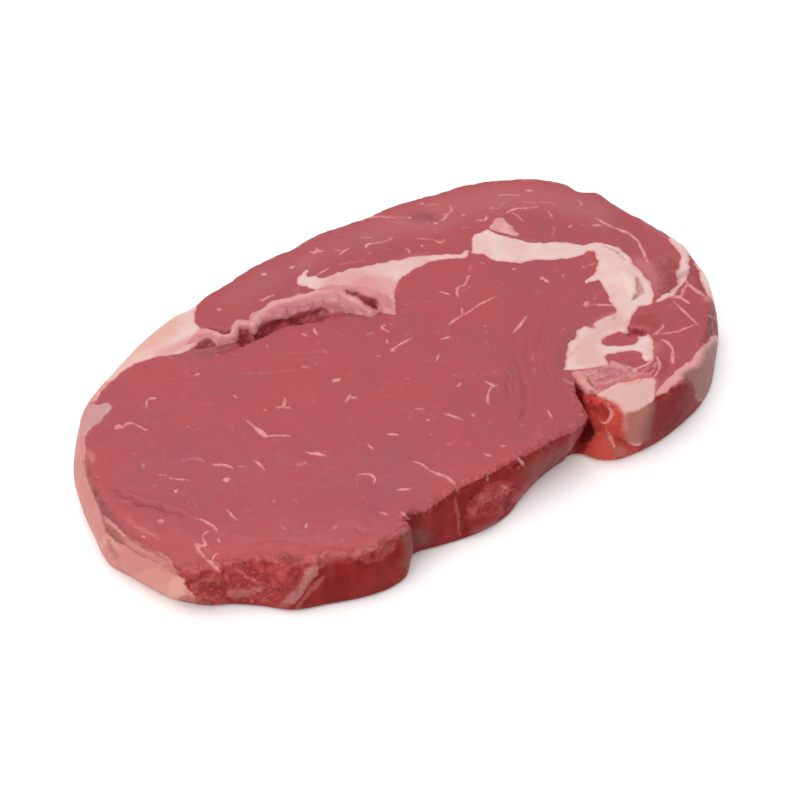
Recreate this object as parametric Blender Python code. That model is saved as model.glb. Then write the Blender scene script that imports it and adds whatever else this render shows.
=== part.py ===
"""Raw boneless ribeye steak, one closed solid lying on its flat cut face.

The shape is worked out in millimetres and the object is made in metres. The face drawing has its zero
inside the eye muscle, +X towards the fatty end and +Y towards the cap muscle. The origin of the object
is the middle of its bounding box, on the surface that the steak lies on.
"""

import bmesh
import bpy
import numpy as np
from mathutils import Vector
from mathutils.geometry import delaunay_2d_cdt

MM = 0.001

# Thickness of the slice, and how it thins towards the front left corner.
THICKNESS = 22.0
CORNER_DROP = 4.5
CORNER_DIRECTION = (-0.85, -0.53)
CORNER_DROP_FROM = 20.0
CORNER_DROP_TO = 105.0

# Edges of the slice.
RIM_RADIUS = 2.0
FOOT_RADIUS = 1.8
EDGE_STEPS = ((1.0, 0.0), (0.35, 0.25), (0.0, 1.0))  # height left and inset, as shares of the radius
WALL_LEVELS = (0.2, 0.4, 0.6, 0.8)

# Mesh spacing.
FACE_STEP = 3.0
BASE_STEP = 9.0
DENSE_STEPS = 24

# Outline of the slice, counter-clockwise: rim x, rim y, foot x, foot y at each station. The points
# follow the middle of the rounded edges, so the wall stands a little outside them.
EDGE_OUTSET = 0.8
RIGHT_END = (
    (103.0, -16.0, 103.0, -17.0),
    (102.3, -8.0, 102.5, -8.0),
    (101.0, 2.0, 101.5, 2.0),
    (100.0, 10.0, 100.5, 10.0),
    (99.8, 17.0, 99.5, 16.5),
    (95.5, 20.8, 96.5, 21.5),
    (94.0, 26.5, 95.0, 27.0),
)
BACK = (
    (88.5, 33.8, 90.0, 34.5),
    (80.0, 41.0, 81.0, 41.5),
    (70.0, 46.0, 70.5, 46.5),
    (57.0, 49.6, 57.0, 50.0),
    (42.0, 52.9, 42.0, 53.5),
    (31.0, 53.8, 31.0, 54.0),
    (20.0, 56.4, 20.0, 56.5),
    (10.0, 57.5, 10.0, 57.5),
    (1.5, 56.3, 1.5, 56.5),
    (-7.0, 57.2, -7.0, 57.5),
    (-20.0, 56.0, -20.0, 56.5),
    (-32.0, 54.3, -32.0, 54.5),
    (-41.0, 52.2, -41.0, 52.5),
    (-47.0, 52.5, -47.0, 52.5),
    (-60.0, 49.4, -60.0, 49.0),
    (-71.7, 45.2, -72.0, 45.0),
    (-83.4, 40.7, -83.5, 40.5),
    (-90.6, 36.3, -91.0, 36.5),
)
LEFT_END = (
    (-95.2, 30.2, -96.3, 31.0),
    (-98.7, 24.7, -101.0, 25.0),
    (-103.0, 15.2, -104.6, 15.0),
    (-105.8, 4.5, -107.5, 3.5),
    (-107.8, -4.4, -109.2, -4.5),
    (-107.5, -12.5, -107.0, -12.0),
    (-105.7, -19.5, -104.6, -19.7),
    (-104.0, -26.5, -102.0, -26.5),
    (-101.0, -32.3, -98.5, -31.5),
)
TORN_CORNER = (
    (-95.1, -36.2, -94.5, -35.6),
    (-88.0, -38.7, -89.5, -38.8),
    (-81.0, -43.3, -83.5, -44.3),
    (-73.0, -51.0, -76.5, -51.6),
    (-66.0, -53.6, -68.5, -55.4),
    (-55.2, -59.6, -57.0, -60.4),
    (-47.5, -59.8, -49.0, -62.0),
)
FRONT = (
    (-42.0, -60.3, -43.5, -61.0),
    (-39.9, -55.6, -41.0, -56.3),
    (-36.0, -57.8, -35.5, -56.2),
    (-29.2, -58.3, -29.0, -58.3),
    (-22.7, -57.4, -22.2, -60.3),
    (-14.4, -59.0, -15.0, -61.7),
    (-4.8, -59.3, -6.0, -61.6),
    (5.0, -60.3, 2.5, -58.7),
    (14.0, -60.5, 11.5, -56.2),
    (21.0, -61.3, 18.5, -55.2),
    (26.0, -60.0, 22.5, -55.0),
)
CREVICE = (
    (28.6, -57.0, 24.2, -55.0),
    (30.3, -52.3, 25.4, -55.1),
    (33.4, -46.8, 26.6, -55.3),
    (35.4, -51.0, 27.8, -55.9),
    (34.8, -55.5, 29.3, -57.6),
)
FAT_LOBE = (
    (35.2, -60.8, 31.8, -61.2),
    (39.0, -65.8, 36.8, -65.0),
    (50.0, -66.5, 50.0, -67.0),
    (60.5, -66.0, 61.5, -66.0),
    (70.0, -62.8, 72.4, -63.6),
    (78.5, -56.5, 81.0, -59.3),
    (88.5, -48.2, 91.0, -51.2),
    (97.0, -39.0, 99.5, -43.0),
    (100.5, -30.0, 102.8, -34.0),
    (102.3, -22.0, 103.2, -24.0),
)
# Each stretch, how far its wall swells out at half height, and how closely its points are set.
STRETCHES = (
    (RIGHT_END, 0.8, 1.0),
    (BACK, 0.6, 1.0),
    (LEFT_END, 1.6, 1.0),
    (TORN_CORNER, 1.0, 1.1),
    (FRONT, 0.8, 1.1),
    (CREVICE, 0.0, 1.7),
    (FAT_LOBE, 0.8, 1.0),
)

# Torn seam between the eye and the membrane that is folded up beside it.
SEAM = (
    (-53.0, 34.5), (-45.0, 31.2), (-38.0, 30.0), (-30.0, 29.3), (-22.0, 28.8), (-15.0, 26.6),
    (-9.0, 24.5), (-4.0, 21.3), (1.0, 17.0), (5.0, 13.6), (9.5, 10.5),
)
SEAM_DEPTH = 3.0
SEAM_HALF_WIDTH = 1.7
LIP_HEIGHT = 2.4
LIP_CREST = 2.6
LIP_WIDTH = 9.0
SEAM_FADE = 9.0

# Slit between two folds of the membrane, and the pit beside the gristle in the fatty end.
SLIT = ((3.6, 27.5), (4.6, 23.5), (6.2, 20.5), (5.6, 17.0))
SLIT_DEPTH = 2.2
PIT = ((61.5, -41.5), (65.5, -45.0))
PIT_DEPTH = 2.0
GROOVE_HALF_WIDTH = 1.4

# Slow swelling of the face: wavelengths along x and y, their phases, height.
SWELLS = ((170.0, 130.0, 0.6, 1.1, 0.4), (74.0, 61.0, 2.2, 0.3, 0.25), (37.0, 29.0, 0.9, 2.7, 0.18))
CROWN = 0.8
CROWN_REACH = 16.0


def smoothstep(low, high, value):
    share = np.clip((value - low) / (high - low), 0.0, 1.0)
    return share * share * (3.0 - 2.0 * share)


def clear_scene():
    for thing in list(bpy.data.objects):
        bpy.data.objects.remove(thing)


def stations():
    """One row for each station: rim x, rim y, foot x, foot y, bulge, closeness."""
    return np.array([(*station, *manner) for stretch, *manner in STRETCHES for station in stretch])


def closed_spline(rows):
    """Rows along a centripetal Catmull-Rom curve through the given rows, which close on themselves."""
    after = np.roll(rows, -1, axis=0)
    knot = np.sqrt(np.linalg.norm((after - rows)[:, :2], axis=1))[:, None]
    slope = (after - rows) / knot
    knot_before = np.roll(knot, 1, axis=0)
    slope_before = np.roll(slope, 1, axis=0)
    tangent = (slope * knot_before + slope_before * knot) / (knot + knot_before)
    tangent_after = np.roll(tangent, -1, axis=0)
    t = np.linspace(0.0, 1.0, DENSE_STEPS, endpoint=False)[None, :, None]
    start = (2 * t**3 - 3 * t**2 + 1) * rows[:, None]
    end = (3 * t**2 - 2 * t**3) * after[:, None]
    leave = (t**3 - 2 * t**2 + t) * (knot * tangent)[:, None]
    arrive = (t**3 - t**2) * (knot * tangent_after)[:, None]
    return (start + end + leave + arrive).reshape(-1, rows.shape[1])


def evenly_spaced(rows, step):
    """The closed curve again, with points about a step apart, or closer where its last column is over 1."""
    loop = np.vstack([rows, rows[:1]])
    runs = np.linalg.norm(np.diff(loop[:, :2], axis=0), axis=1) * loop[:-1, -1]
    length = np.concatenate([[0.0], np.cumsum(runs)])
    count = round(length[-1] / step)
    at = np.arange(count) * length[-1] / count
    return np.column_stack([np.interp(at, length, column) for column in loop.T])


def outward(points):
    """Unit normals of a counter-clockwise closed curve."""
    along = np.roll(points, -1, axis=0) - np.roll(points, 1, axis=0)
    normal = np.column_stack([along[:, 1], -along[:, 0]])
    return normal / np.linalg.norm(normal, axis=1, keepdims=True)


def along_line(points, step):
    """Points about a step apart along an open line of straight runs."""
    points = np.array(points)
    length = np.concatenate([[0.0], np.cumsum(np.linalg.norm(np.diff(points, axis=0), axis=1))])
    at = np.linspace(0.0, length[-1], max(2, round(length[-1] / step) + 1))
    return np.column_stack([np.interp(at, length, column) for column in points.T])


def beside_line(x, y, line):
    """Distance to a line, positive on its left, and the distance from its nearer end along it."""
    line = np.array(line)
    place = np.stack([x, y], axis=-1)
    nearest = np.full(x.shape, np.inf)
    side = np.zeros(x.shape)
    run = np.zeros(x.shape)
    passed = 0.0
    for start, end in zip(line[:-1], line[1:]):
        along = end - start
        length = np.linalg.norm(along)
        along = along / length
        offset = place - start
        reach = np.clip(offset @ along, 0.0, length)
        gap = np.linalg.norm(offset - reach[..., None] * along, axis=-1)
        left = offset[..., 1] * along[0] - offset[..., 0] * along[1]
        closer = gap < nearest
        nearest = np.where(closer, gap, nearest)
        side = np.where(closer, np.where(left < 0.0, -gap, gap), side)
        run = np.where(closer, passed + reach, run)
        passed += length
    return side, np.minimum(run, passed - run)


def seam_relief(x, y):
    """The torn groove along the eye, and the lip of membrane that stands up behind it."""
    side, from_end = beside_line(x, y, SEAM)
    groove = SEAM_DEPTH * np.exp(-((side / SEAM_HALF_WIDTH) ** 2))
    rise = smoothstep(0.0, LIP_CREST, side)
    fall = 1.0 - smoothstep(LIP_CREST, LIP_WIDTH, side)
    return (LIP_HEIGHT * rise * fall - groove) * smoothstep(0.0, SEAM_FADE, from_end)


def groove_relief(x, y, line, depth):
    side, _ = beside_line(x, y, line)
    return -depth * np.exp(-((side / GROOVE_HALF_WIDTH) ** 2))


def plain_height(x, y):
    """Height of the slice without its folds and grooves."""
    toward_corner = CORNER_DIRECTION[0] * x + CORNER_DIRECTION[1] * y
    drop = CORNER_DROP * smoothstep(CORNER_DROP_FROM, CORNER_DROP_TO, toward_corner)
    swell = sum(
        high * np.sin(x / wave_x * 2 * np.pi + phase_x) * np.sin(y / wave_y * 2 * np.pi + phase_y)
        for wave_x, wave_y, phase_x, phase_y, high in SWELLS
    )
    return THICKNESS - drop + swell


def face_height(x, y, rim):
    """Height of the upper face, which is crowned inside its rim."""
    side, _ = beside_line(x, y, np.vstack([rim, rim[:1]]))
    crown = CROWN * smoothstep(0.0, CROWN_REACH, np.abs(side))
    relief = seam_relief(x, y) + groove_relief(x, y, SLIT, SLIT_DEPTH) + groove_relief(x, y, PIT, PIT_DEPTH)
    return plain_height(x, y) + crown + relief * smoothstep(0.0, RIM_RADIUS, np.abs(side))


def wall_rings(rows):
    """Rings of points from the flat base up to the inner edge of the rim."""
    rim_out = outward(rows[:, :2])
    foot_out = outward(rows[:, 2:4])
    bulge = rows[:, 4:5]
    outset = EDGE_OUTSET * np.minimum(bulge, 1.0)
    rim = rows[:, :2] + outset * rim_out
    foot = rows[:, 2:4] + outset * foot_out
    top = plain_height(rim[:, 0], rim[:, 1])[:, None]
    rings = []
    for height, inset in reversed(EDGE_STEPS):
        rings.append(np.hstack([foot - inset * FOOT_RADIUS * foot_out, np.full_like(top, height * FOOT_RADIUS)]))
    for level in WALL_LEVELS:
        out = rim_out * level + foot_out * (1.0 - level)
        swell = 4.0 * level * (1.0 - level) * bulge
        place = rim * level + foot * (1.0 - level) + swell * out
        rings.append(np.hstack([place, FOOT_RADIUS + level * (top - RIM_RADIUS - FOOT_RADIUS)]))
    for height, inset in EDGE_STEPS:
        rings.append(np.hstack([rim - inset * RIM_RADIUS * rim_out, top - height * RIM_RADIUS]))
    return rings


def inside(points, loop):
    """Whether each point lies inside a closed loop."""
    x, y = points[:, :1], points[:, 1:]
    ax, ay = loop.T
    bx, by = np.roll(loop, -1, axis=0).T
    crosses = ((ay > y) != (by > y)) & (x < (bx - ax) * (y - ay) / np.where(by == ay, np.inf, by - ay) + ax)
    return crosses.sum(axis=1) % 2 == 1


def clear_of(points, others, gap):
    """The points that keep a gap to every one of the others."""
    distance = np.linalg.norm(points[:, None] - others[None], axis=2).min(axis=1)
    return points[distance > gap]


def filling_points(loop, step, lines=()):
    """Points on a triangular grid inside a loop, and along the given lines."""
    low = loop.min(axis=0)
    high = loop.max(axis=0)
    rows_y = np.arange(low[1], high[1], step * np.sqrt(0.75))
    grid = [(x + (i % 2) * step / 2, y) for i, y in enumerate(rows_y) for x in np.arange(low[0], high[0], step)]
    grid = np.array(grid)
    grid = clear_of(grid[inside(grid, loop)], loop, 0.7 * step)
    for line in lines:
        line = clear_of(line[inside(line, loop)], loop, 0.5 * step)
        grid = np.vstack([clear_of(grid, line, 0.62 * step), line])
    return grid


def offset_line(line, gap):
    """The line moved to its left by a gap."""
    along = np.gradient(line, axis=0)
    left = np.column_stack([-along[:, 1], along[:, 0]])
    return line + gap * left / np.linalg.norm(left, axis=1, keepdims=True)


def relief_lines():
    """Lines of points that the folds and grooves of the face are drawn on."""
    seam = along_line(SEAM, FACE_STEP * 0.8)
    lines = [offset_line(seam, LIP_CREST), offset_line(seam, -1.4 * SEAM_HALF_WIDTH), seam]
    return lines + [along_line(SLIT, FACE_STEP * 0.7), along_line(PIT, FACE_STEP * 0.7)]


def add_cap(body, ring, loop, fill, heights, facing_up):
    """Triangles over a closed ring of vertices, with the filling points inside it."""
    flat = [Vector(point) for point in np.vstack([loop, fill])]
    border = list(range(len(loop)))
    _, _, faces, origins, _, _ = delaunay_2d_cdt(flat, [], [border], 1, 1e-5)
    corners = list(ring)
    corners += [body.verts.new((x * MM, y * MM, z * MM)) for (x, y), z in zip(fill, heights)]
    for face in faces:
        vertices = [corners[origins[i][0]] for i in face]
        body.faces.new(vertices if facing_up else vertices[::-1])


def add_band(body, lower, upper):
    """Triangles between two rings of vertices."""
    count = len(lower)
    for i in range(count):
        j = (i + 1) % count
        body.faces.new((lower[i], lower[j], upper[j]))
        body.faces.new((lower[i], upper[j], upper[i]))


def centred(rings, fill, base_fill):
    """Everything moved so that the bounding box has its middle over the origin."""
    everything = np.vstack([ring[:, :2] for ring in rings])
    middle = (everything.min(axis=0) + everything.max(axis=0)) / 2
    rings = [ring - (*middle, 0.0) for ring in rings]
    return rings, fill - middle, base_fill - middle


def meat_material():
    material = bpy.data.materials.new("meat")
    material.use_nodes = True
    shader = material.node_tree.nodes["Principled BSDF"]
    shader.inputs["Base Color"].default_value = (0.45, 0.10, 0.11, 1.0)
    shader.inputs["Roughness"].default_value = 0.45
    shader.inputs["Metallic"].default_value = 0.0
    return material


def make_steak():
    rows = evenly_spaced(closed_spline(stations()), FACE_STEP)
    rings = wall_rings(rows)
    rim = rings[-1][:, :2]
    fill = filling_points(rim, FACE_STEP, relief_lines())
    heights = face_height(fill[:, 0], fill[:, 1], rim)
    base_fill = filling_points(rings[0][:, :2], BASE_STEP)
    rings, fill, base_fill = centred(rings, fill, base_fill)

    body = bmesh.new()
    loops = [[body.verts.new(point * MM) for point in ring] for ring in rings]
    for lower, upper in zip(loops[:-1], loops[1:]):
        add_band(body, lower, upper)
    add_cap(body, loops[-1], rings[-1][:, :2], fill, heights, True)
    add_cap(body, loops[0], rings[0][:, :2], base_fill, np.zeros(len(base_fill)), False)

    mesh = bpy.data.meshes.new("steak")
    body.to_mesh(mesh)
    body.free()
    mesh.shade_smooth()
    mesh.materials.append(meat_material())
    steak = bpy.data.objects.new("steak", mesh)
    bpy.context.scene.collection.objects.link(steak)


clear_scene()
make_steak()
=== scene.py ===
"""Looks of the raw ribeye steak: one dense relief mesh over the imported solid, with a marbled meat material.

Lengths are in millimetres on the face drawing until the mesh is made. The drawing's zero lies inside the
eye muscle, +X towards the fatty end and +Y towards the cap muscle. Colour marks are drawn on the plane of
the upper face, as seen from EYE, the camera's place: that lays the marks of the front walls on the same
sheet as those of the face.
"""

import math

import bpy
import numpy as np
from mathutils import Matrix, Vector
from mathutils.geometry import delaunay_2d_cdt


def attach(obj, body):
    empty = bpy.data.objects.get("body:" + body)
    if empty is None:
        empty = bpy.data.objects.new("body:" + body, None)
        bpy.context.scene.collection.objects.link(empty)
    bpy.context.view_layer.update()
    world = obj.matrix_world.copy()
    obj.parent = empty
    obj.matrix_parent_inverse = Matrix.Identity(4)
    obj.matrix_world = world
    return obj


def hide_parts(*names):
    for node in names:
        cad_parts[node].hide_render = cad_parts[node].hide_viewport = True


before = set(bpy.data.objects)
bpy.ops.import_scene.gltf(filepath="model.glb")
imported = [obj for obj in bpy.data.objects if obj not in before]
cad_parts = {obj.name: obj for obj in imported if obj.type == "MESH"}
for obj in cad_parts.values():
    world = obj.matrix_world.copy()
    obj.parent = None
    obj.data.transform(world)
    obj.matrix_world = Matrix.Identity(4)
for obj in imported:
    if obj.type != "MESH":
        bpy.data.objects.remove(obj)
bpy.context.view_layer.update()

MM = 0.001

# ---- The form, as in the solid ----

THICKNESS = 22.0
CORNER_DROP = 4.5
CORNER_DIRECTION = (-0.85, -0.53)
CORNER_DROP_FROM = 20.0
CORNER_DROP_TO = 105.0
RIM_RADIUS = 1.2
FOOT_RADIUS = 1.8
# Height and inset of each step round an edge, as shares of its radius.
EDGE_STEPS = ((1.0, 0.0), (0.62, 0.075), (0.29, 0.29), (0.075, 0.62), (0.0, 1.0))
WALL_ROWS = 38
RING_STEP = 0.85
DENSE_STEPS = 24
# How far the rim and the foot lie outside their stations, at most.
EDGE_OUTSET = 0.8

# Stations round the outline: rim x, rim y, foot x, foot y.
RIGHT_END = (
    (103.0, -16.0, 103.0, -17.0),
    (102.3, -8.0, 102.5, -8.0),
    (101.0, 2.0, 101.5, 2.0),
    (100.0, 10.0, 100.5, 10.0),
    (99.8, 17.0, 99.5, 16.5),
    (95.5, 20.8, 96.5, 21.5),
    (94.0, 26.5, 95.0, 27.0),
)
BACK = (
    (88.5, 33.8, 90.0, 34.5),
    (80.0, 41.0, 81.0, 41.5),
    (70.0, 46.0, 70.5, 46.5),
    (57.0, 49.6, 57.0, 50.0),
    (42.0, 52.9, 42.0, 53.5),
    (31.0, 53.8, 31.0, 54.0),
    (20.0, 56.4, 20.0, 56.5),
    (10.0, 57.5, 10.0, 57.5),
    (1.5, 56.3, 1.5, 56.5),
    (-7.0, 57.2, -7.0, 57.5),
    (-20.0, 56.0, -20.0, 56.5),
    (-32.0, 54.3, -32.0, 54.5),
    (-41.0, 52.2, -41.0, 52.5),
    (-47.0, 52.5, -47.0, 52.5),
    (-60.0, 49.4, -60.0, 49.0),
    (-71.7, 45.2, -72.0, 45.0),
    (-83.4, 40.7, -83.5, 40.5),
    (-90.6, 36.3, -91.0, 36.5),
)
LEFT_END = (
    (-95.2, 30.2, -96.3, 31.0),
    (-98.7, 24.7, -101.0, 25.0),
    (-103.0, 15.2, -104.6, 15.0),
    (-105.8, 4.5, -107.5, 3.5),
    (-107.8, -4.4, -109.2, -4.5),
    (-107.5, -12.5, -107.0, -12.0),
    (-105.7, -19.5, -104.6, -19.7),
    (-104.0, -26.5, -102.0, -26.5),
    (-101.0, -32.3, -98.5, -31.5),
)
TORN_CORNER = (
    (-95.1, -36.2, -94.5, -35.6),
    (-88.0, -38.7, -89.5, -38.8),
    (-81.0, -43.3, -83.5, -44.3),
    (-73.0, -51.0, -76.5, -51.6),
    (-66.0, -53.6, -68.5, -55.4),
    (-55.2, -59.6, -57.0, -60.4),
    (-47.5, -59.8, -49.0, -62.0),
)
FRONT = (
    (-42.0, -60.3, -43.5, -61.0),
    (-39.9, -55.6, -41.0, -56.3),
    (-36.0, -57.8, -35.5, -56.2),
    (-29.2, -58.3, -29.0, -58.3),
    (-22.7, -57.4, -22.2, -60.3),
    (-14.4, -59.0, -15.0, -61.7),
    (-4.8, -59.3, -6.0, -61.6),
    (5.0, -60.3, 2.5, -58.7),
    (14.0, -60.5, 11.5, -56.2),
    (21.0, -61.3, 18.5, -55.2),
    (26.0, -60.0, 22.5, -55.0),
)
CREVICE = (
    (28.6, -57.0, 24.2, -55.0),
    (30.3, -52.3, 25.4, -55.1),
    (33.4, -46.8, 26.6, -55.3),
    (35.4, -51.0, 27.8, -55.9),
    (34.8, -55.5, 29.3, -57.6),
)
FAT_LOBE = (
    (35.2, -60.8, 31.8, -61.2),
    (39.0, -65.8, 36.8, -65.0),
    (50.0, -66.5, 50.0, -67.0),
    (60.5, -66.0, 61.5, -66.0),
    (70.0, -62.8, 72.4, -63.6),
    (78.5, -56.5, 81.0, -59.3),
    (88.5, -48.2, 91.0, -51.2),
    (97.0, -39.0, 99.5, -43.0),
    (100.5, -30.0, 102.8, -34.0),
    (102.3, -22.0, 103.2, -24.0),
)
# Each stretch, how far its wall swells out at half height, and how closely its points are set.
STRETCHES = (
    (RIGHT_END, 0.8, 0.75),
    (BACK, 0.6, 0.65),
    (LEFT_END, 1.6, 1.2),
    (TORN_CORNER, 1.0, 1.9),
    (FRONT, 0.8, 1.6),
    (CREVICE, 0.0, 2.0),
    (FAT_LOBE, 0.8, 1.2),
)

SEAM = (
    (-53.0, 34.5), (-45.0, 31.2), (-38.0, 30.0), (-30.0, 29.3), (-22.0, 28.8), (-15.0, 26.6), (-9.0, 24.5),
    (-4.0, 21.3), (1.0, 17.0), (5.0, 13.6), (9.5, 10.5),
)
SEAM_DEPTH = 3.0
SEAM_HALF_WIDTH = 1.7
LIP_HEIGHT = 2.4
LIP_CREST = 2.6
LIP_WIDTH = 9.0
SEAM_FADE = 9.0
SLIT = ((3.6, 27.5), (4.6, 23.5), (6.2, 20.5), (5.6, 17.0))
SLIT_DEPTH = 2.2
PIT = ((61.5, -41.5), (65.5, -45.0))
PIT_DEPTH = 2.0
GROOVE_HALF_WIDTH = 1.4
GROOVE_SHARE = 0.35
PLEAT_LEAN = 0.4
PLEAT_STRETCH = 5.0
# Height, size and seed of the wide pleats and of the narrow ones.
PLEATS = ((0.65, 1.5, 5), (0.45, 0.9, 8))

# Wavelengths along x and y, phases along x and y, and height of each long swell of the upper face.
SWELLS = ((170.0, 130.0, 0.6, 1.1, 0.4), (74.0, 61.0, 2.2, 0.3, 0.25), (37.0, 29.0, 0.9, 2.7, 0.18))
CROWN = 0.8
CROWN_REACH = 16.0

FINE_STEP = 0.46
FIELD_REACH = 5.0
JITTER = 0.12
JITTER_SEED = 7
BASE_STEP = 3.0
ROW_SHARE = math.sqrt(0.75)
CDT_CLOSENESS = 1e-6
RIM_STRIDE = 4
CHUNK = 4000

# Where the mesh is fine: how near to a mark, and from what depth of a wrinkle or height of a lump.
SEAM_DETAIL = (-3.0, 8.0)
EDGE_DETAIL = 0.5
STREAK_DETAIL = 0.45
WRINKLE_DETAIL = 0.08
LUMP_DETAIL = 0.1

# The hidden walls' marks wander to and fro along the rim, by more the lower they lie.
WANDER = 10.0
WANDER_DEPTH = 14.0
WANDER_SIZE = 15.0
WANDER_SEED = 83

# How far marks are shifted to and fro for torn edges.
SHIFT = 0.5
FAT_SHIFT = 0.6
TINT_SHIFT = 0.8
CRACK_SHIFT = 1.3
STREAK_SHIFT = 0.35
SHIFT_SIZE = 2.6
SHIFT_SEEDS = (51, 67)

# Heights of the fine relief.
BROAD_HEIGHT = 0.25
GRAIN_HEIGHT = 0.22
FINE_HEIGHT = 0.08
FAT_GRAIN_HEIGHT = 0.12
FAT_FINE_HEIGHT = 0.04
BUNDLE_HEIGHT = 0.5
WALL_GRAIN_HEIGHT = 0.12
CRUMB_HEIGHT = 1.1
RIM_HEIGHT = 0.9
FAT_STAND = 0.2
STREAK_STAND = 0.12
# Size, octaves and seed of each noise in the relief, and the gain of those for crumbs.
BROAD = (13.0, 2, 15)
GRAIN = (6.0, 4, 3)
FINE = (1.7, 2, 9)
BUNDLES = (7.0, 2, 41)
BUNDLE_SQUASH = (1.0, 1.0, 0.5)
RIM_WAVES = (7.0, 2, 61)
TORN_WAVES = (3.2, 2, 77)
CRUMB_LUMPS = (3.6, 3, 21, 0.7)
CRUMB_CREASES = (2.1, 2, 27, 0.7)
CREASE_SQUASH = (1.0, 1.0, 0.8)
# How much of the crumbs wet meat and membrane take, and how much loose and undercut meat.
WET_SHARE = 0.4
LOOSE_SHARE = 0.8
# Fat holds this share of the crumbs and of their painted shading back.
FAT_HOLD = 0.85
# Half the length and half the width of the slice, by which its front is told from its back.
HALF_SIZE = (107.0, 63.0)

# ---- The camera, which also sets the sheet that the colour marks are drawn on ----

AZIMUTH = math.radians(-38.0)
ELEVATION = math.radians(45.0)
FIELD_OF_VIEW = math.radians(22.0)
DISTANCE = 646.3
SENSOR = 36.0
BACKWARD = np.array([
    math.sin(AZIMUTH) * math.cos(ELEVATION),
    -math.cos(AZIMUTH) * math.cos(ELEVATION),
    math.sin(ELEVATION),
])
EYE = DISTANCE * BACKWARD

# ---- Fat, membrane and lean islands, as outlines on the sheet ----

WEDGE = (
    (-88, 36.4), (-84.5, 37), (-82, 38.8), (-79.5, 40), (-76.5, 40.9), (-73, 42), (-70, 42.4), (-66, 42),
    (-62, 41), (-59, 39.6), (-56.5, 38), (-54, 37.2), (-51, 37.7), (-47.5, 38.4), (-44.4, 38.6), (-43.8, 41),
    (-43.6, 44), (-43.1, 46), (-42.3, 48), (-41, 50), (-38.5, 52), (-36, 54.5), (-42, 58), (-60, 55),
    (-75, 49), (-92, 41),
)
TONGUE = (
    (-97.5, 25.4), (-95, 26.4), (-92.5, 27.6), (-90, 28.2), (-87, 29.2), (-84.6, 30.2), (-83.6, 31.6),
    (-84.4, 32.8), (-86.6, 34.4), (-88, 36.4), (-92, 40), (-103, 32),
)
LEFT_RIND = (
    (-97.5, 25.6), (-98.3, 23.5), (-99, 21.5), (-100, 19.8), (-101.8, 17.8), (-103, 15), (-104.8, 11),
    (-106.4, 6.5), (-107.8, 2), (-108.5, -1.5), (-108.9, -5), (-108.9, -8), (-108.3, -13), (-107.3, -19),
    (-105.8, -23.5), (-104.2, -27.5), (-103.4, -31), (-103.8, -33.5), (-105, -35.2), (-104.7, -38.6),
    (-105.6, -41), (-105.3, -43.5), (-106, -46), (-109, -49.5), (-118, -50), (-127, -25), (-121, 5),
    (-108, 28), (-102, 32),
)
RIDGE = (
    (-51, 39.5), (-46, 42), (-43.6, 43), (-41.8, 41.6), (-40.4, 40), (-39.4, 38), (-38.4, 36.2),
    (-37.2, 35.6), (-35.8, 36.8), (-34.2, 38.4), (-32.6, 39.2), (-31.2, 39), (-30, 37.4), (-29.3, 37.2),
    (-28, 38.4), (-26, 39), (-22, 38.2), (-19.6, 39.4), (-17, 38.8), (-13, 37.5), (-9, 36.6), (-5.5, 35.2),
    (-1, 35), (6, 30), (11, 22), (12.5, 16.5), (10.6, 13.4), (9.4, 11.8), (8.5, 10.8), (7.4, 11.8),
    (6.2, 13.4), (5, 15), (4, 14.7), (2.8, 14.4), (1.4, 15), (0.2, 16.6), (-1, 18.6), (-2.4, 20.6),
    (-4, 22.6), (-5.6, 23), (-6.6, 24.2), (-7, 27), (-8.4, 29.4), (-10, 29.8), (-12, 29), (-14.5, 30.1),
    (-17.5, 30.5), (-20, 30), (-21.4, 31.4), (-23, 33), (-24.6, 34), (-27, 33.2), (-29.3, 31.8),
    (-30.6, 30.2), (-31.6, 30.4), (-32.3, 32.4), (-32.4, 34.8), (-33.2, 35.5), (-34.6, 34), (-36, 32),
    (-37.6, 31), (-39.4, 31.6), (-41.6, 32.7), (-43.6, 33.2), (-43.8, 38.4), (-47, 38.4),
)
FIRST_BAND = (
    (-7.4, 40.5), (-6.8, 42.2), (-5.5, 43.8), (-3.5, 44.6), (-0.8, 45.1), (-0.6, 44.4), (-2.2, 43.2),
    (-2.4, 42.2), (-0.4, 41.2), (-0.1, 39.4), (1.2, 38.4), (3.5, 38), (6.5, 37.9), (8.6, 36.9), (11, 36.6),
    (13, 35.2), (15.4, 34.6), (17.4, 33.5), (19.2, 33.3), (21.5, 32), (24, 31.6), (26, 30.2), (28.6, 29.3),
    (31, 28.3), (33.5, 27), (36, 25.5), (38.2, 23.9), (40.2, 22.6), (41.4, 21.2), (43.4, 20.3), (45.4, 20.9),
    (46.6, 20), (44.8, 18.6), (43, 18.3), (41, 19.2), (39, 20.4), (36.6, 22.2), (33.5, 23.5), (30, 23.9),
    (26.5, 23.7), (22.5, 23.2), (19.5, 22.4), (16.8, 20.7), (14.6, 19), (13, 16.6), (12, 15), (10.6, 13.4),
    (7, 20), (4, 26), (0, 31), (-4, 34.3), (-5, 36.6), (-5.9, 38.6),
)
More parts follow.
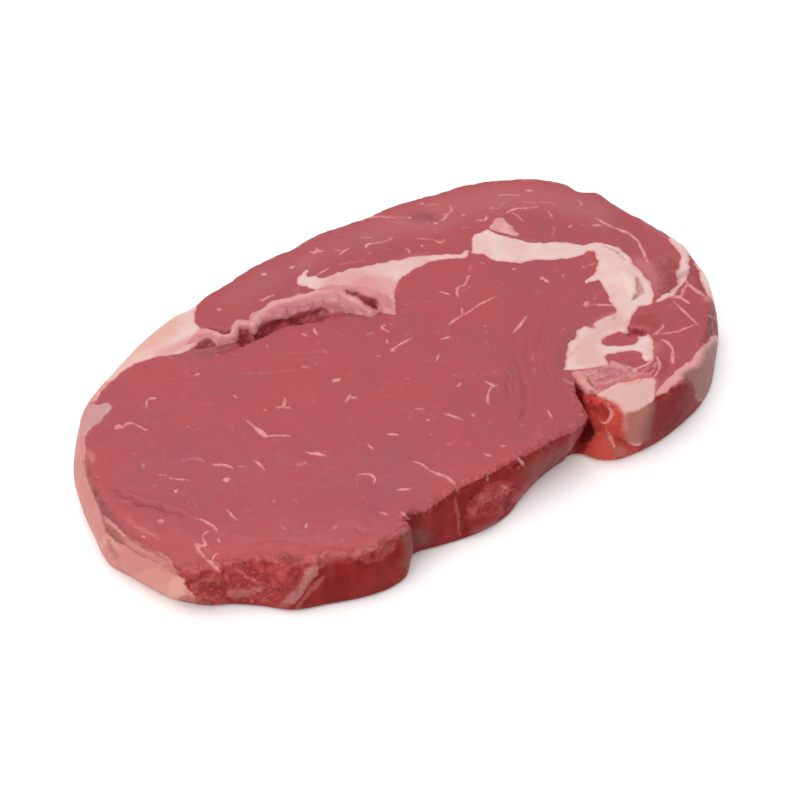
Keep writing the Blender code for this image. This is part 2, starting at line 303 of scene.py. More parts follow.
SECOND_BAND = (
    (46.4, 18.4), (47.6, 19.8), (48.6, 21.5), (50, 22.8), (51.4, 24.2), (53, 25), (55, 24.8), (57, 24.7),
    (58.7, 25.3), (58.6, 23.2), (59.4, 21), (61.4, 17.8), (63.2, 14), (65, 11.8), (66.6, 9.6), (68.4, 7.9),
    (70.2, 6.5), (72.2, 5.2), (74, 3.4), (75.8, 1.4), (78.4, -1), (80.4, -1.7), (82.2, -2.2), (83.6, -5),
    (79, -7), (77.8, -5), (76.2, -3.8), (74.8, -4.7), (72.6, -4.1), (70.2, -3.3), (67.6, -2), (65, -0.7),
    (63, 1), (61, 2.5), (58.5, 3.7), (56, 5), (54, 6.5), (52, 8.5), (50.4, 10), (49.3, 12), (49.3, 14),
    (48.4, 16), (47, 17.2),
)
FLAP = (
    (59.2, 25.2), (60.2, 25.6), (62, 26), (63.6, 27), (65, 26.6), (65.8, 25.4), (65, 23.8), (65.1, 22.2),
    (65.5, 20.4), (64.7, 18.5), (64.6, 16.4), (63.6, 16), (62.4, 18.2), (61, 20.2), (59.8, 22.2),
    (59.3, 23.8),
)
RIGHT_BAND = (
    (79, -3.6), (82.6, -3.4), (83.6, -5), (85, -6.8), (85.8, -9), (85.4, -11), (85.7, -13.4), (85, -15.5),
    (84.2, -17.4), (84, -19.8), (83.5, -22), (82.7, -24.4), (82.8, -26.2), (82, -28.4), (80.6, -30.4),
    (79.5, -32.5), (78, -34), (76, -35.4), (74, -35), (72, -34.2), (70, -34.6), (68, -35.6), (66, -36.6),
    (64.4, -38), (63, -38.9), (61.6, -39.6), (61.4, -43.4), (63.4, -44.8), (65.6, -45.4), (65, -46.6),
    (64.2, -48.6), (62.8, -50.6), (61, -52), (60, -53.6), (58.4, -54.3), (56.9, -53.7), (56.8, -51.6),
    (57.7, -49.6), (57.2, -48.2), (55, -47), (53, -46), (50.6, -45), (49, -44.1), (47.7, -44.6),
    (47.3, -46.2), (46.4, -47.4), (44, -46.9), (42, -46), (39.6, -45), (38, -44), (36.4, -43.4),
    (35.1, -42.5), (34.5, -41.4), (34.1, -40.3), (35.6, -39.5), (38, -37.5), (40, -35.5), (42, -33.8),
    (43.6, -32.7), (46, -32), (48, -31), (48.6, -30.2), (50.2, -30.4), (52, -30.3), (53, -31.6), (54, -33),
    (54.6, -31.8), (55.4, -31), (58, -31.2), (61, -31.5), (63, -31.8), (65, -31), (65.3, -29), (66, -27),
    (67, -25.4), (68, -23), (68.6, -21), (69.6, -18.8), (70.1, -16.8), (68.7, -16.7), (67.4, -15.8),
    (66.1, -15), (67.2, -14.1), (69.2, -13.9), (71.4, -13.7), (73.6, -12), (75.4, -11), (76, -9.5),
    (77, -7.6), (78, -6),
)
ISLAND = (
    (51, -39.8), (52, -38.2), (53.6, -37.6), (55.6, -37.8), (58, -38.5), (59.6, -39.8), (61, -41.5),
    (62, -43.4), (61.4, -44.9), (60, -45.7), (58, -45.5), (56, -44.5), (54, -43), (52, -41.3),
)
BLOCK = (
    (34.7, -55.4), (36, -55), (40, -55.2), (44, -56), (46.6, -57), (49.6, -58.2), (52, -59.8), (53, -60.6),
    (52.6, -62.2), (51.2, -63.4), (50, -65), (48.6, -66), (47, -67.4), (44.6, -69.5), (42, -71.2),
    (39.8, -72.9), (37.2, -74.5), (35.6, -76.2), (33.4, -77.6), (30, -78.4), (28.4, -76.2), (29.2, -73.2),
    (31, -70.8), (33.4, -68.8), (35.6, -66), (36.6, -62.6), (35.8, -59),
)
LOBE_RIM = (
    (50.6, -65.4), (53, -64.5), (56, -63.6), (60, -62.5), (64, -62.2), (68, -61.8), (71, -60.5), (74, -59.8),
    (77, -59.4), (80, -58), (84, -60), (72, -72), (60, -79), (57.2, -75), (59.4, -72.6), (61, -70),
    (61.2, -66.6), (57, -66.2), (54, -66.7), (51, -67.2), (48.5, -66.6),
)
RIM_NET = (
    (101.4, -16), (100.4, -19), (99.9, -22), (98.8, -24.4), (97, -26.3), (95, -28), (92.8, -28.6),
    (91.4, -30.4), (89.4, -32.6), (87.4, -34), (84, -35), (80, -34.8), (77, -35.6), (80, -36.6), (83.4, -37),
    (87, -36), (90, -34.8), (92.4, -34), (95, -32.5), (97.2, -30.4), (99.6, -28), (102, -25), (104, -20),
    (104, -15),
)
RIM_STRIP = (
    (102.8, -24), (101.5, -27), (100.2, -30), (98.6, -33), (96.6, -36), (94.6, -39), (93.2, -42),
    (92.6, -45), (98, -46), (106, -35), (106, -24),
)
MEMBRANE = (
    (34.6, -43.6), (36.4, -43.6), (38, -44.2), (39.8, -45.2), (42, -46.2), (44, -47.1), (46.5, -47.7),
    (48.2, -46.6), (49.4, -48.6), (50.6, -50.6), (51.6, -52.6), (52.4, -54.4), (50.4, -56), (48.6, -57),
    (46.4, -56.6), (44, -55.8), (40, -55), (36, -54.8), (34.2, -54.8), (32.8, -53.2), (32.5, -51.4),
    (33.3, -49), (33.8, -46.5),
)
WET = (
    (32.6, -52.6), (31, -54), (29.6, -56.4), (28, -59), (26, -62), (24, -65), (20, -68.2), (14.4, -70.5),
    (14.5, -76), (18, -81), (26, -82), (29.5, -79.5), (28.6, -76.2), (29.4, -73), (31.2, -70.6),
    (33.6, -68.5), (35.8, -65.6), (36.6, -62.4), (35.6, -58.6), (34.4, -55.4),
)
TORN = (
    (-105, -34.6), (-102, -34), (-99.5, -34.4), (-97, -34.2), (-94.5, -36.4), (-92, -38), (-88.6, -37.8),
    (-88, -40), (-88.6, -43), (-86, -43.4), (-84.4, -45), (-83.6, -48), (-82, -50.4), (-80.4, -49),
    (-78, -47), (-75.6, -49.6), (-74.2, -52.4), (-72, -54.2), (-68, -55.2), (-64.6, -57.6), (-62.6, -60.6),
    (-58, -60.6), (-54, -59.8), (-50, -60.4), (-47.4, -61.6), (-50.6, -65.4), (-55, -66.4), (-60, -65.6),
    (-64, -62.6), (-70, -59), (-74, -59.6), (-80, -62), (-88, -64.5), (-97, -60), (-108, -50), (-106, -44),
    (-104.8, -39),
)
WALL_SHREDS = (
    (-28.6, -69.6), (-26, -66.4), (-21, -63.8), (-16, -62.4), (-11, -64), (-8.6, -67), (-10, -70),
    (-15, -72), (-20, -74.4), (-24, -71.4),
)
LOOSE_CRUMBS = (
    ((90.4, -21.7), (96.1, -21.8), (95.8, -25.9), (92.4, -31.3), (86.4, -35.8), (82.1, -34.8), (83.2, -30.3),
        (87.1, -25.3)),
    ((-7.8, -61.7), (-3.1, -60.3), (0.7, -61.2), (0.1, -63.8), (-3.9, -64.8), (-8.2, -64.4)),
)
UNDERCUTS = (
    ((-38, 30.4), (-33, 30.6), (-30, 30.4), (-27, 31.6), (-24, 32), (-20, 29.6), (-15, 29.2), (-11, 28.2),
        (-8, 28), (-7, 26), (-8, 23.6), (-11, 22.6), (-15, 24.4), (-20, 27), (-26, 28), (-33, 28),
        (-37.6, 28.8)),
    ((-50, 37.8), (-47, 38.1), (-44.2, 38.4), (-43.8, 36), (-43.9, 33.7), (-46, 34), (-48, 35.2)),
)
CRACKS = (
    ((-38, 31), (-36.5, 32), (-35, 33.7), (-33.3, 35.4), (-32.4, 34.6), (-32.3, 31.8), (-33, 30.2),
        (-36, 28.9), (-38, 29.2)),
    ((-32.4, 29.6), (-30, 30.4), (-28.8, 31.7), (-27, 32.4), (-25, 33.2), (-23.4, 32.6), (-21.6, 31),
        (-20.2, 29.6), (-22, 28.4), (-26, 28.7), (-30, 28.5)),
    ((-20, 29.2), (-18.6, 29.3), (-17.3, 28), (-15.8, 26.2), (-16.8, 25.4), (-18.6, 26.6), (-20.4, 27.6)),
    ((-41, 41.3), (-39.4, 40), (-38.2, 38.3), (-36.9, 36.7), (-37.6, 36.1), (-38.6, 36.4), (-39.4, 38.4),
        (-40.4, 40.2)),
    ((2.4, 29.4), (4.2, 28), (5.6, 25), (7.2, 22.8), (7.6, 19), (6.5, 16.8), (5, 15.8), (4.6, 18.6),
        (4.4, 21), (3.4, 24.5)),
    ((61.4, -41.2), (62.6, -40.4), (64, -41), (65, -42.6), (66.6, -44.6), (67.4, -45.2), (65.4, -45.1),
        (63.6, -44.2), (62.2, -43)),
    ((25.2, -61.4), (23.5, -63), (20.6, -64.4), (18, -65.9), (16.2, -67.3), (18.5, -67.8), (21, -66.8),
        (23, -65.3), (25.2, -63)),
    ((31.8, -48.8), (32.2, -49.6), (31.8, -51), (30.6, -52.8), (30, -52.6), (30.8, -50.6)),
    ((29.6, -30), (29.2, -29.6), (29.4, -31), (30, -31)),
)

# Streaks of marbling: half width, then points. The faint ones lie just under the surface.
STREAKS = (
    (1.0, (-87.6, 22.4), (-86.4, 22.9)),
    (0.35, (-86.2, 21.6), (-84, 22.6), (-82.6, 21), (-81.8, 18.5), (-81.2, 16.3)),
    (0.4, (-73.2, 27), (-71.6, 25.7)), (0.3, (-76, 23.8), (-75, 25.8), (-74, 26.9)),
    (0.5, (-56.6, 26.6), (-55.2, 26.3)), (0.3, (-52.2, 12.5), (-52.2, 10.5)),
    (0.4, (-70.8, 10), (-70.2, 10)), (0.45, (-55.3, 1), (-55, -3)), (0.75, (-55, -3), (-54.5, -8.3)),
    (0.4, (-54.5, -8), (-52, -9.5), (-49, -12)), (0.3, (-48.8, 1.5), (-48, 1.4)),
    (0.35, (-45.5, 0.5), (-43, -1), (-40.5, 2)), (0.3, (-43, -1), (-41, -3)),
    (0.3, (-88.4, -1), (-86.6, -2.7)), (0.35, (-86.4, -4.2), (-84.6, -6.4), (-82.2, -8.6)),
    (0.6, (-88.3, -9.9), (-87.4, -9.6)), (0.85, (-97.9, -16.2), (-97, -16.9)),
    (1.0, (-74.2, -14.5), (-73, -15.2)), (0.4, (-73.5, -7.4), (-71.2, -9.4), (-70, -11), (-69.6, -13)),
    (0.25, (-68, -12.5), (-66, -14.5)), (0.35, (-62.5, -13.5), (-62.6, -18.5)),
    (0.35, (-89.2, -21.6), (-87.4, -24.6), (-86.9, -27), (-86.6, -30)),
    (0.3, (-80.3, -24.5), (-80.4, -27), (-80, -30)), (0.35, (-89, -28), (-91, -28.2), (-91.8, -29.6)),
    (0.5, (-91.8, -29.6), (-92.2, -32), (-94, -31.4), (-94.6, -30), (-95.4, -33), (-95.3, -36)),
    (0.4, (-95.3, -36), (-94.6, -39), (-94.9, -42.5)), (0.3, (-94.4, -38), (-93, -36.6), (-91.4, -36.4)),
    (0.3, (-88.5, -32), (-88.8, -33.4)), (0.5, (-68.2, -30.4), (-67.6, -30.2)),
    (0.55, (-48.5, -20.5), (-45.3, -25)), (0.3, (-66.4, -44.2), (-65.4, -43)),
    (0.4, (-24, -9), (-27.5, -11)), (0.35, (-25, -9.5), (-23.5, -11.5)), (0.3, (-32.5, -29), (-32.5, -31.5)),
    (0.4, (-25.3, -29.5), (-23.5, -31.5)), (0.65, (-12.8, -32.2), (-12.2, -32.4)),
    (0.3, (-12.5, -26), (-10.5, -28)), (0.35, (-7, -32.5), (-5, -36), (-4, -38.5)),
    (0.5, (-0.8, -38.9), (0.2, -38.3)), (0.35, (3.5, -26.5), (5.5, -26)), (0.3, (5.5, -13.5), (8, -12)),
    (0.4, (13, -7), (15.5, -7.8)),
    (0.35, (-42, -37.2), (-40.2, -37.8), (-39, -39.5), (-39.3, -41.6), (-40.6, -42.3)),
    (0.4, (-36.8, -48.4), (-35.4, -49.3), (-33.7, -50.6)), (0.35, (-46.2, -52.2), (-45, -54.5)),
    (0.3, (-26.5, -42.5), (-25, -45), (-24.5, -49)),
    (0.5, (-24.5, -49.2), (-23.2, -51.6), (-22.4, -54), (-22.2, -57)), (0.4, (-7.9, -53), (-6.8, -55)),
    (0.3, (-2, -53.3), (-0.7, -54.4)), (0.3, (18.4, -51), (17.3, -54.6)),
    (0.35, (12, -30), (12, -33), (13.8, -34)), (0.3, (12, -33), (8.5, -34.5), (6, -38.5)),
    (0.4, (-34.3, 46.8), (-33.2, 46.8)), (0.95, (-13.3, 51.9), (-12.9, 51.2)),
    (0.6, (-4.6, 48.4), (-3.2, 48.6)), (0.4, (5, 51.2), (7, 50.2), (9, 49.2)),
    (0.35, (7, 50.4), (8.2, 51.8)), (0.35, (5.4, 49.8), (8.4, 50.6)),
    (0.35, (11.6, 44.2), (14.4, 44.9), (16.4, 44.6)), (0.3, (12, 47), (13.4, 45.8)),
    (0.35, (22.4, 46.6), (24, 45.6), (25.4, 44.6)), (0.45, (20.8, 41.6), (22, 42.8), (24, 42)),
    (0.35, (24, 42), (26.4, 40.8), (28.6, 40.3), (30.6, 40.3)), (0.35, (-0.4, 40.6), (2.4, 41), (5.8, 40.9)),
    (0.4, (-22, 43), (-21, 41.6), (-18.6, 42), (-16.2, 41.4)),
    (0.3, (-20, 21.6), (-19.4, 19.8), (-18.8, 19.6)), (0.35, (-15.3, 21.2), (-16.1, 20), (-16.3, 18)),
    (0.35, (-4.4, 9.2), (-2.2, 8.3)), (0.4, (3, 8.8), (1.4, 9), (1.6, 7), (2.3, 5.2)),
    (0.8, (-24.8, -1.4), (-22.6, -1.8)), (0.3, (-0.5, 3), (-1.8, 1.5)), (0.3, (-8, 0), (-6.7, -1.5)),
    (0.85, (-2.6, -2), (-1.6, -1.4)), (0.35, (-2, -1.5), (6, -1)), (0.35, (26, 10.6), (27, 9.4), (28, 7.4)),
    (0.45, (26, 54.2), (30, 53.6)), (0.4, (30, 53.6), (33.4, 52), (35.4, 50), (37.6, 47.4)),
    (0.5, (41.2, 45.2), (41.4, 44.4)), (0.4, (48.8, 48.6), (49.6, 48)),
    (0.5, (48.4, 37.4), (50.4, 37.6), (52.6, 38.6)),
    (0.35, (51.6, 39.6), (52.6, 38.4), (54.6, 39.2), (56, 40.6), (56, 42)), (0.5, (46, 37.7), (47, 37.3)),
    (0.35, (36.6, 35.6), (39, 33), (41, 31), (41.4, 29)), (0.55, (41.2, 29), (42.6, 28.4)),
    (0.3, (42.6, 28.6), (44, 29.2)), (0.5, (56, 35), (56.8, 34.9)),
    (0.35, (31, 33.6), (31.2, 31.6), (30, 30.8)), (0.45, (35.4, 31.2), (36, 31.6)),
    (0.35, (58, 30.4), (59.4, 29.2), (61.6, 28.6), (62.2, 30)),
    (0.35, (72.2, 35.6), (74, 34.8), (76.4, 32.6), (78.4, 31.6)), (0.45, (81.4, 32), (82.6, 30.2)),
    (0.35, (66, 32.4), (68, 30.4)), (0.5, (68.6, 27), (71.6, 27), (74, 25.6)),
    (0.4, (74, 25.6), (76.4, 24.2), (79, 22.8)), (0.35, (69.8, 26.8), (70.4, 23.4), (70, 20.4)),
    (0.35, (80, 19), (79, 16.4), (78.4, 15)), (0.35, (92, 17.5), (91.4, 15.6), (90.6, 14.6)),
    (0.4, (79.8, 8.6), (81.6, 8.8)), (0.4, (51.6, 4.2), (52.4, 3.6)), (0.5, (86.8, 4.8), (88.6, 3)),
    (0.35, (45, 13.2), (46.2, 12.2)), (0.55, (55.8, -4.8), (57, -4.6)), (0.5, (56.6, -5), (56.6, -7.6)),
    (0.5, (32.5, -18.8), (37.5, -17), (40.5, -15.5)), (0.35, (27.2, -11), (28, -11)),
    (0.4, (18.5, -3.5), (21, -2.8), (25, -2.5)), (0.35, (25, -2.5), (27, 0)),
    (0.35, (24, -2.8), (30, -2.5), (35, -2), (40.5, -2.5)),
    (0.35, (29.4, 4.6), (30.6, 7), (32.2, 8.6), (34.4, 7.8)),
    (0.35, (34.4, 7.8), (36.4, 9), (37.8, 10.4), (39.2, 10.4)), (0.45, (89.8, 7), (90.8, 2), (91.6, -1)),
    (0.55, (91.6, -1), (93, -4), (93.7, -7), (93.2, -10.6)),
    (0.5, (93.2, -10.6), (91.6, -14), (89.6, -17.6), (88.4, -20)), (1.0, (58.6, -23.6), (60, -22.4)),
    (0.45, (60.4, -24.2), (62.6, -26), (65.2, -28.4)), (0.45, (70, -9), (71, -9.3)),
    (0.9, (84, -38.4), (85.4, -39)), (0.55, (84.9, -39.4), (85.1, -42.6)),
    (0.6, (82.4, -36.8), (84.4, -38.4)), (0.55, (85.6, -38.6), (88, -37.4), (90.6, -36)),
    (0.6, (91.4, -34), (91.3, -38), (91, -41), (91.8, -44.4)),
    (0.4, (82, -39), (81.5, -43), (81.1, -47), (80.6, -51.8)),
    (0.35, (66, -46.3), (69, -46.2), (71, -45.8), (72, -44.6)),
    (0.35, (68, -47), (71, -49), (75, -50.2), (80.5, -51.3)), (0.5, (67, -49.5), (67.6, -52), (66.4, -55)),
    (0.55, (66.4, -55), (64.8, -57), (62.4, -59.4)), (0.4, (86.2, -50), (87, -53)),
    (0.4, (50.2, -54.3), (54, -54.5), (57.4, -55), (60, -53.4)),
    (0.4, (60.5, -54.6), (59, -57.4), (56, -59.5), (53.4, -60.2)),
    (0.3, (47.6, -56), (50.6, -56.6), (54, -58.4)), (0.5, (-41.5, -56.4), (-41.5, -59.6)),
    (0.5, (-1.2, -60.6), (-1.4, -62), (-2, -63.4)), (0.35, (-14.2, -62.4), (-12.4, -60)),
    (0.3, (-12.2, -65.4), (-11.4, -67.6)),
    (0.6, (33.6, -60.6), (34.1, -62), (33.2, -63.6), (31.4, -65), (29.6, -65.7)),
    (0.45, (29.6, -65.7), (28.2, -64.6)), (0.5, (27, -68), (26.4, -70.4), (25.4, -72.4), (24.4, -74.4)),
    (0.35, (34.6, -47), (35.8, -48.6), (35, -51)), (0.35, (-108.9, -6.5), (-109.3, -10), (-108.8, -15)),
    (0.35, (-104.6, -18), (-104.4, -19)),
)
FAINT_STREAKS = (
    (0.4, (-79.4, -0.8), (-77, -1.9), (-75.6, -3), (-74.8, -5.4)), (0.5, (-92, -4.4), (-91, -4.2)),
    (0.5, (-89.6, 5), (-88.8, 4.8)), (0.5, (-54, -23), (-51, -24)), (0.35, (-6.8, -14), (-6, -14.4)),
    (0.35, (-15.8, -37), (-15.2, -37.2)), (0.4, (5.8, -22), (6.6, -22.3)),
    (0.35, (-14.5, -43.3), (-12.5, -44)), (0.3, (9, 40.7), (13, 39), (17, 37.2)),
    (0.5, (49.6, 47), (54, 44.6)), (0.3, (38, 48), (41.4, 44.8)), (0.4, (20, 39.4), (20.6, 38.6)),
    (0.4, (26, 36.4), (26.8, 35.8)), (0.3, (40, 12), (42, 14.4)), (0.35, (73, 9), (75, 10.6), (76.2, 10.8)),
    (0.35, (76, 10.6), (75.6, 12.6)), (0.4, (-31, 24.4), (-31.8, 23.4)), (0.5, (-46.4, 30.8), (-46, 29.8)),
    (0.4, (-46.4, -44.4), (-46, -45)), (0.6, (-61, -49.4), (-59, -48.6)),
    (0.3, (-71.6, -39), (-71.4, -41.4)), (0.35, (8, -50.6), (8.8, -51)), (0.35, (62.4, -22.6), (65, -21.9)),
    (0.5, (71.6, -9.3), (75, -10.4)), (0.4, (44, 39.4), (44.6, 38.8)), (0.4, (43, 34), (43.8, 33.6)),
    (0.4, (52, 30.6), (54, 28.8)), (0.35, (26, -36), (28, -35)), (0.35, (29.6, -34.8), (30.4, -35.4)),
    (0.3, (29, -32), (31.4, -29.6)), (0.4, (84, 7.6), (85, 6.6)), (0.4, (68.8, 31), (72, 31.4)),
    (0.35, (4.4, 8), (5, 7.6)), (0.5, (-3, 26), (-2, 24)), (0.45, (62, -8.6), (63, -7.8)),
    (0.45, (45.6, -27), (46.6, -27)), (0.5, (-28.4, 9.6), (-26.6, 8)), (0.3, (72, -23), (72.4, -22)),
    (0.35, (76.2, 28), (83, 22.6), (84.4, 20.6)),
)

# ---- Soft patches of colour on the sheet, laid over one another in this order ----

LIGHT_LEVEL = 1.12


def linear(red, green, blue):
    """A linear colour from one of 0 to 255, dimmed by as much as the studio light is bright."""
    def channel(value):
        value = value / 255.0
        return (value / 12.92 if value <= 0.04045 else ((value + 0.055) / 1.055) ** 2.4) / LIGHT_LEVEL
    return (channel(red), channel(green), channel(blue), 1.0)


DULL_PINK = linear(196, 125, 118)
GREY_PINK = linear(182, 130, 126)
ROSE = linear(204, 126, 126)
PEACH = linear(212, 154, 138)
# Beige: tissue stripes, and the block's fat wall painted darker as painted shade.
BEIGE_AND_SHADED_FAT = linear(164, 96, 84)
# Brown: brown membrane lines, and painted shade below the ridge and lip, in grooves, along fat edges and
# inside the left rim.
BROWN_AND_SHADE = linear(140, 76, 70)
# Grey brown: the greyish tone of the front wall, and painted shade low on the fat walls of the block and the
# lobe.
GREY_BROWN_AND_SHADE = linear(120, 70, 62)
# Rose: the rosy tissue of some walls, and painted highlight on the lit tops of lumps on the walls and the
# torn corner.
WALL_ROSE_AND_HIGHLIGHT = linear(166, 84, 80)
# Deep red: the meat's own deeper red in places, and painted shade under the ridge, in the slit, crevice and a
# wrinkle, and low on walls.
SHADE_AND_DEEP_RED = linear(140, 32, 30)
WET_RED = linear(184, 62, 54)
# A redder flush, and painted highlight along the front and left rims.
FLUSH_AND_RIM_HIGHLIGHT = linear(184, 78, 78)
# Painted shade: dark red laid into hollows, pits, cracks, crevices, grooves and under lips and folds.
PAINTED_SHADE = linear(112, 22, 24)
ORANGE_RED = linear(202, 78, 66)
SALMON = linear(216, 138, 128)
MAUVE = linear(178, 98, 106)
# Pale: pale membrane fibres, and painted highlight on the ridge's crest, its pleats and the lit fold by the
# crevice.
PALE_AND_HIGHLIGHT = linear(220, 158, 154)
FAT_SHADE = linear(204, 152, 142)
LEAN_GREY = linear(130, 50, 54)
# Cream fat with a painted highlight on its raised oval.
CREAM_AND_HIGHLIGHT = linear(226, 196, 180)
# Painted shadow, near black, in the deepest part of the crevice.
CREVICE_SHADOW = linear(56, 20, 16)
# Painted shade in the grooves beside the raised cream oval of fat.
FLAP_GAP_SHADE = linear(182, 128, 122)
RIDGE_PINK = linear(190, 112, 114)
CORAL = linear(222, 84, 80)
# Painted shade in the folds between the ridge's pleats.
PLEAT_SHADE = linear(150, 76, 78)

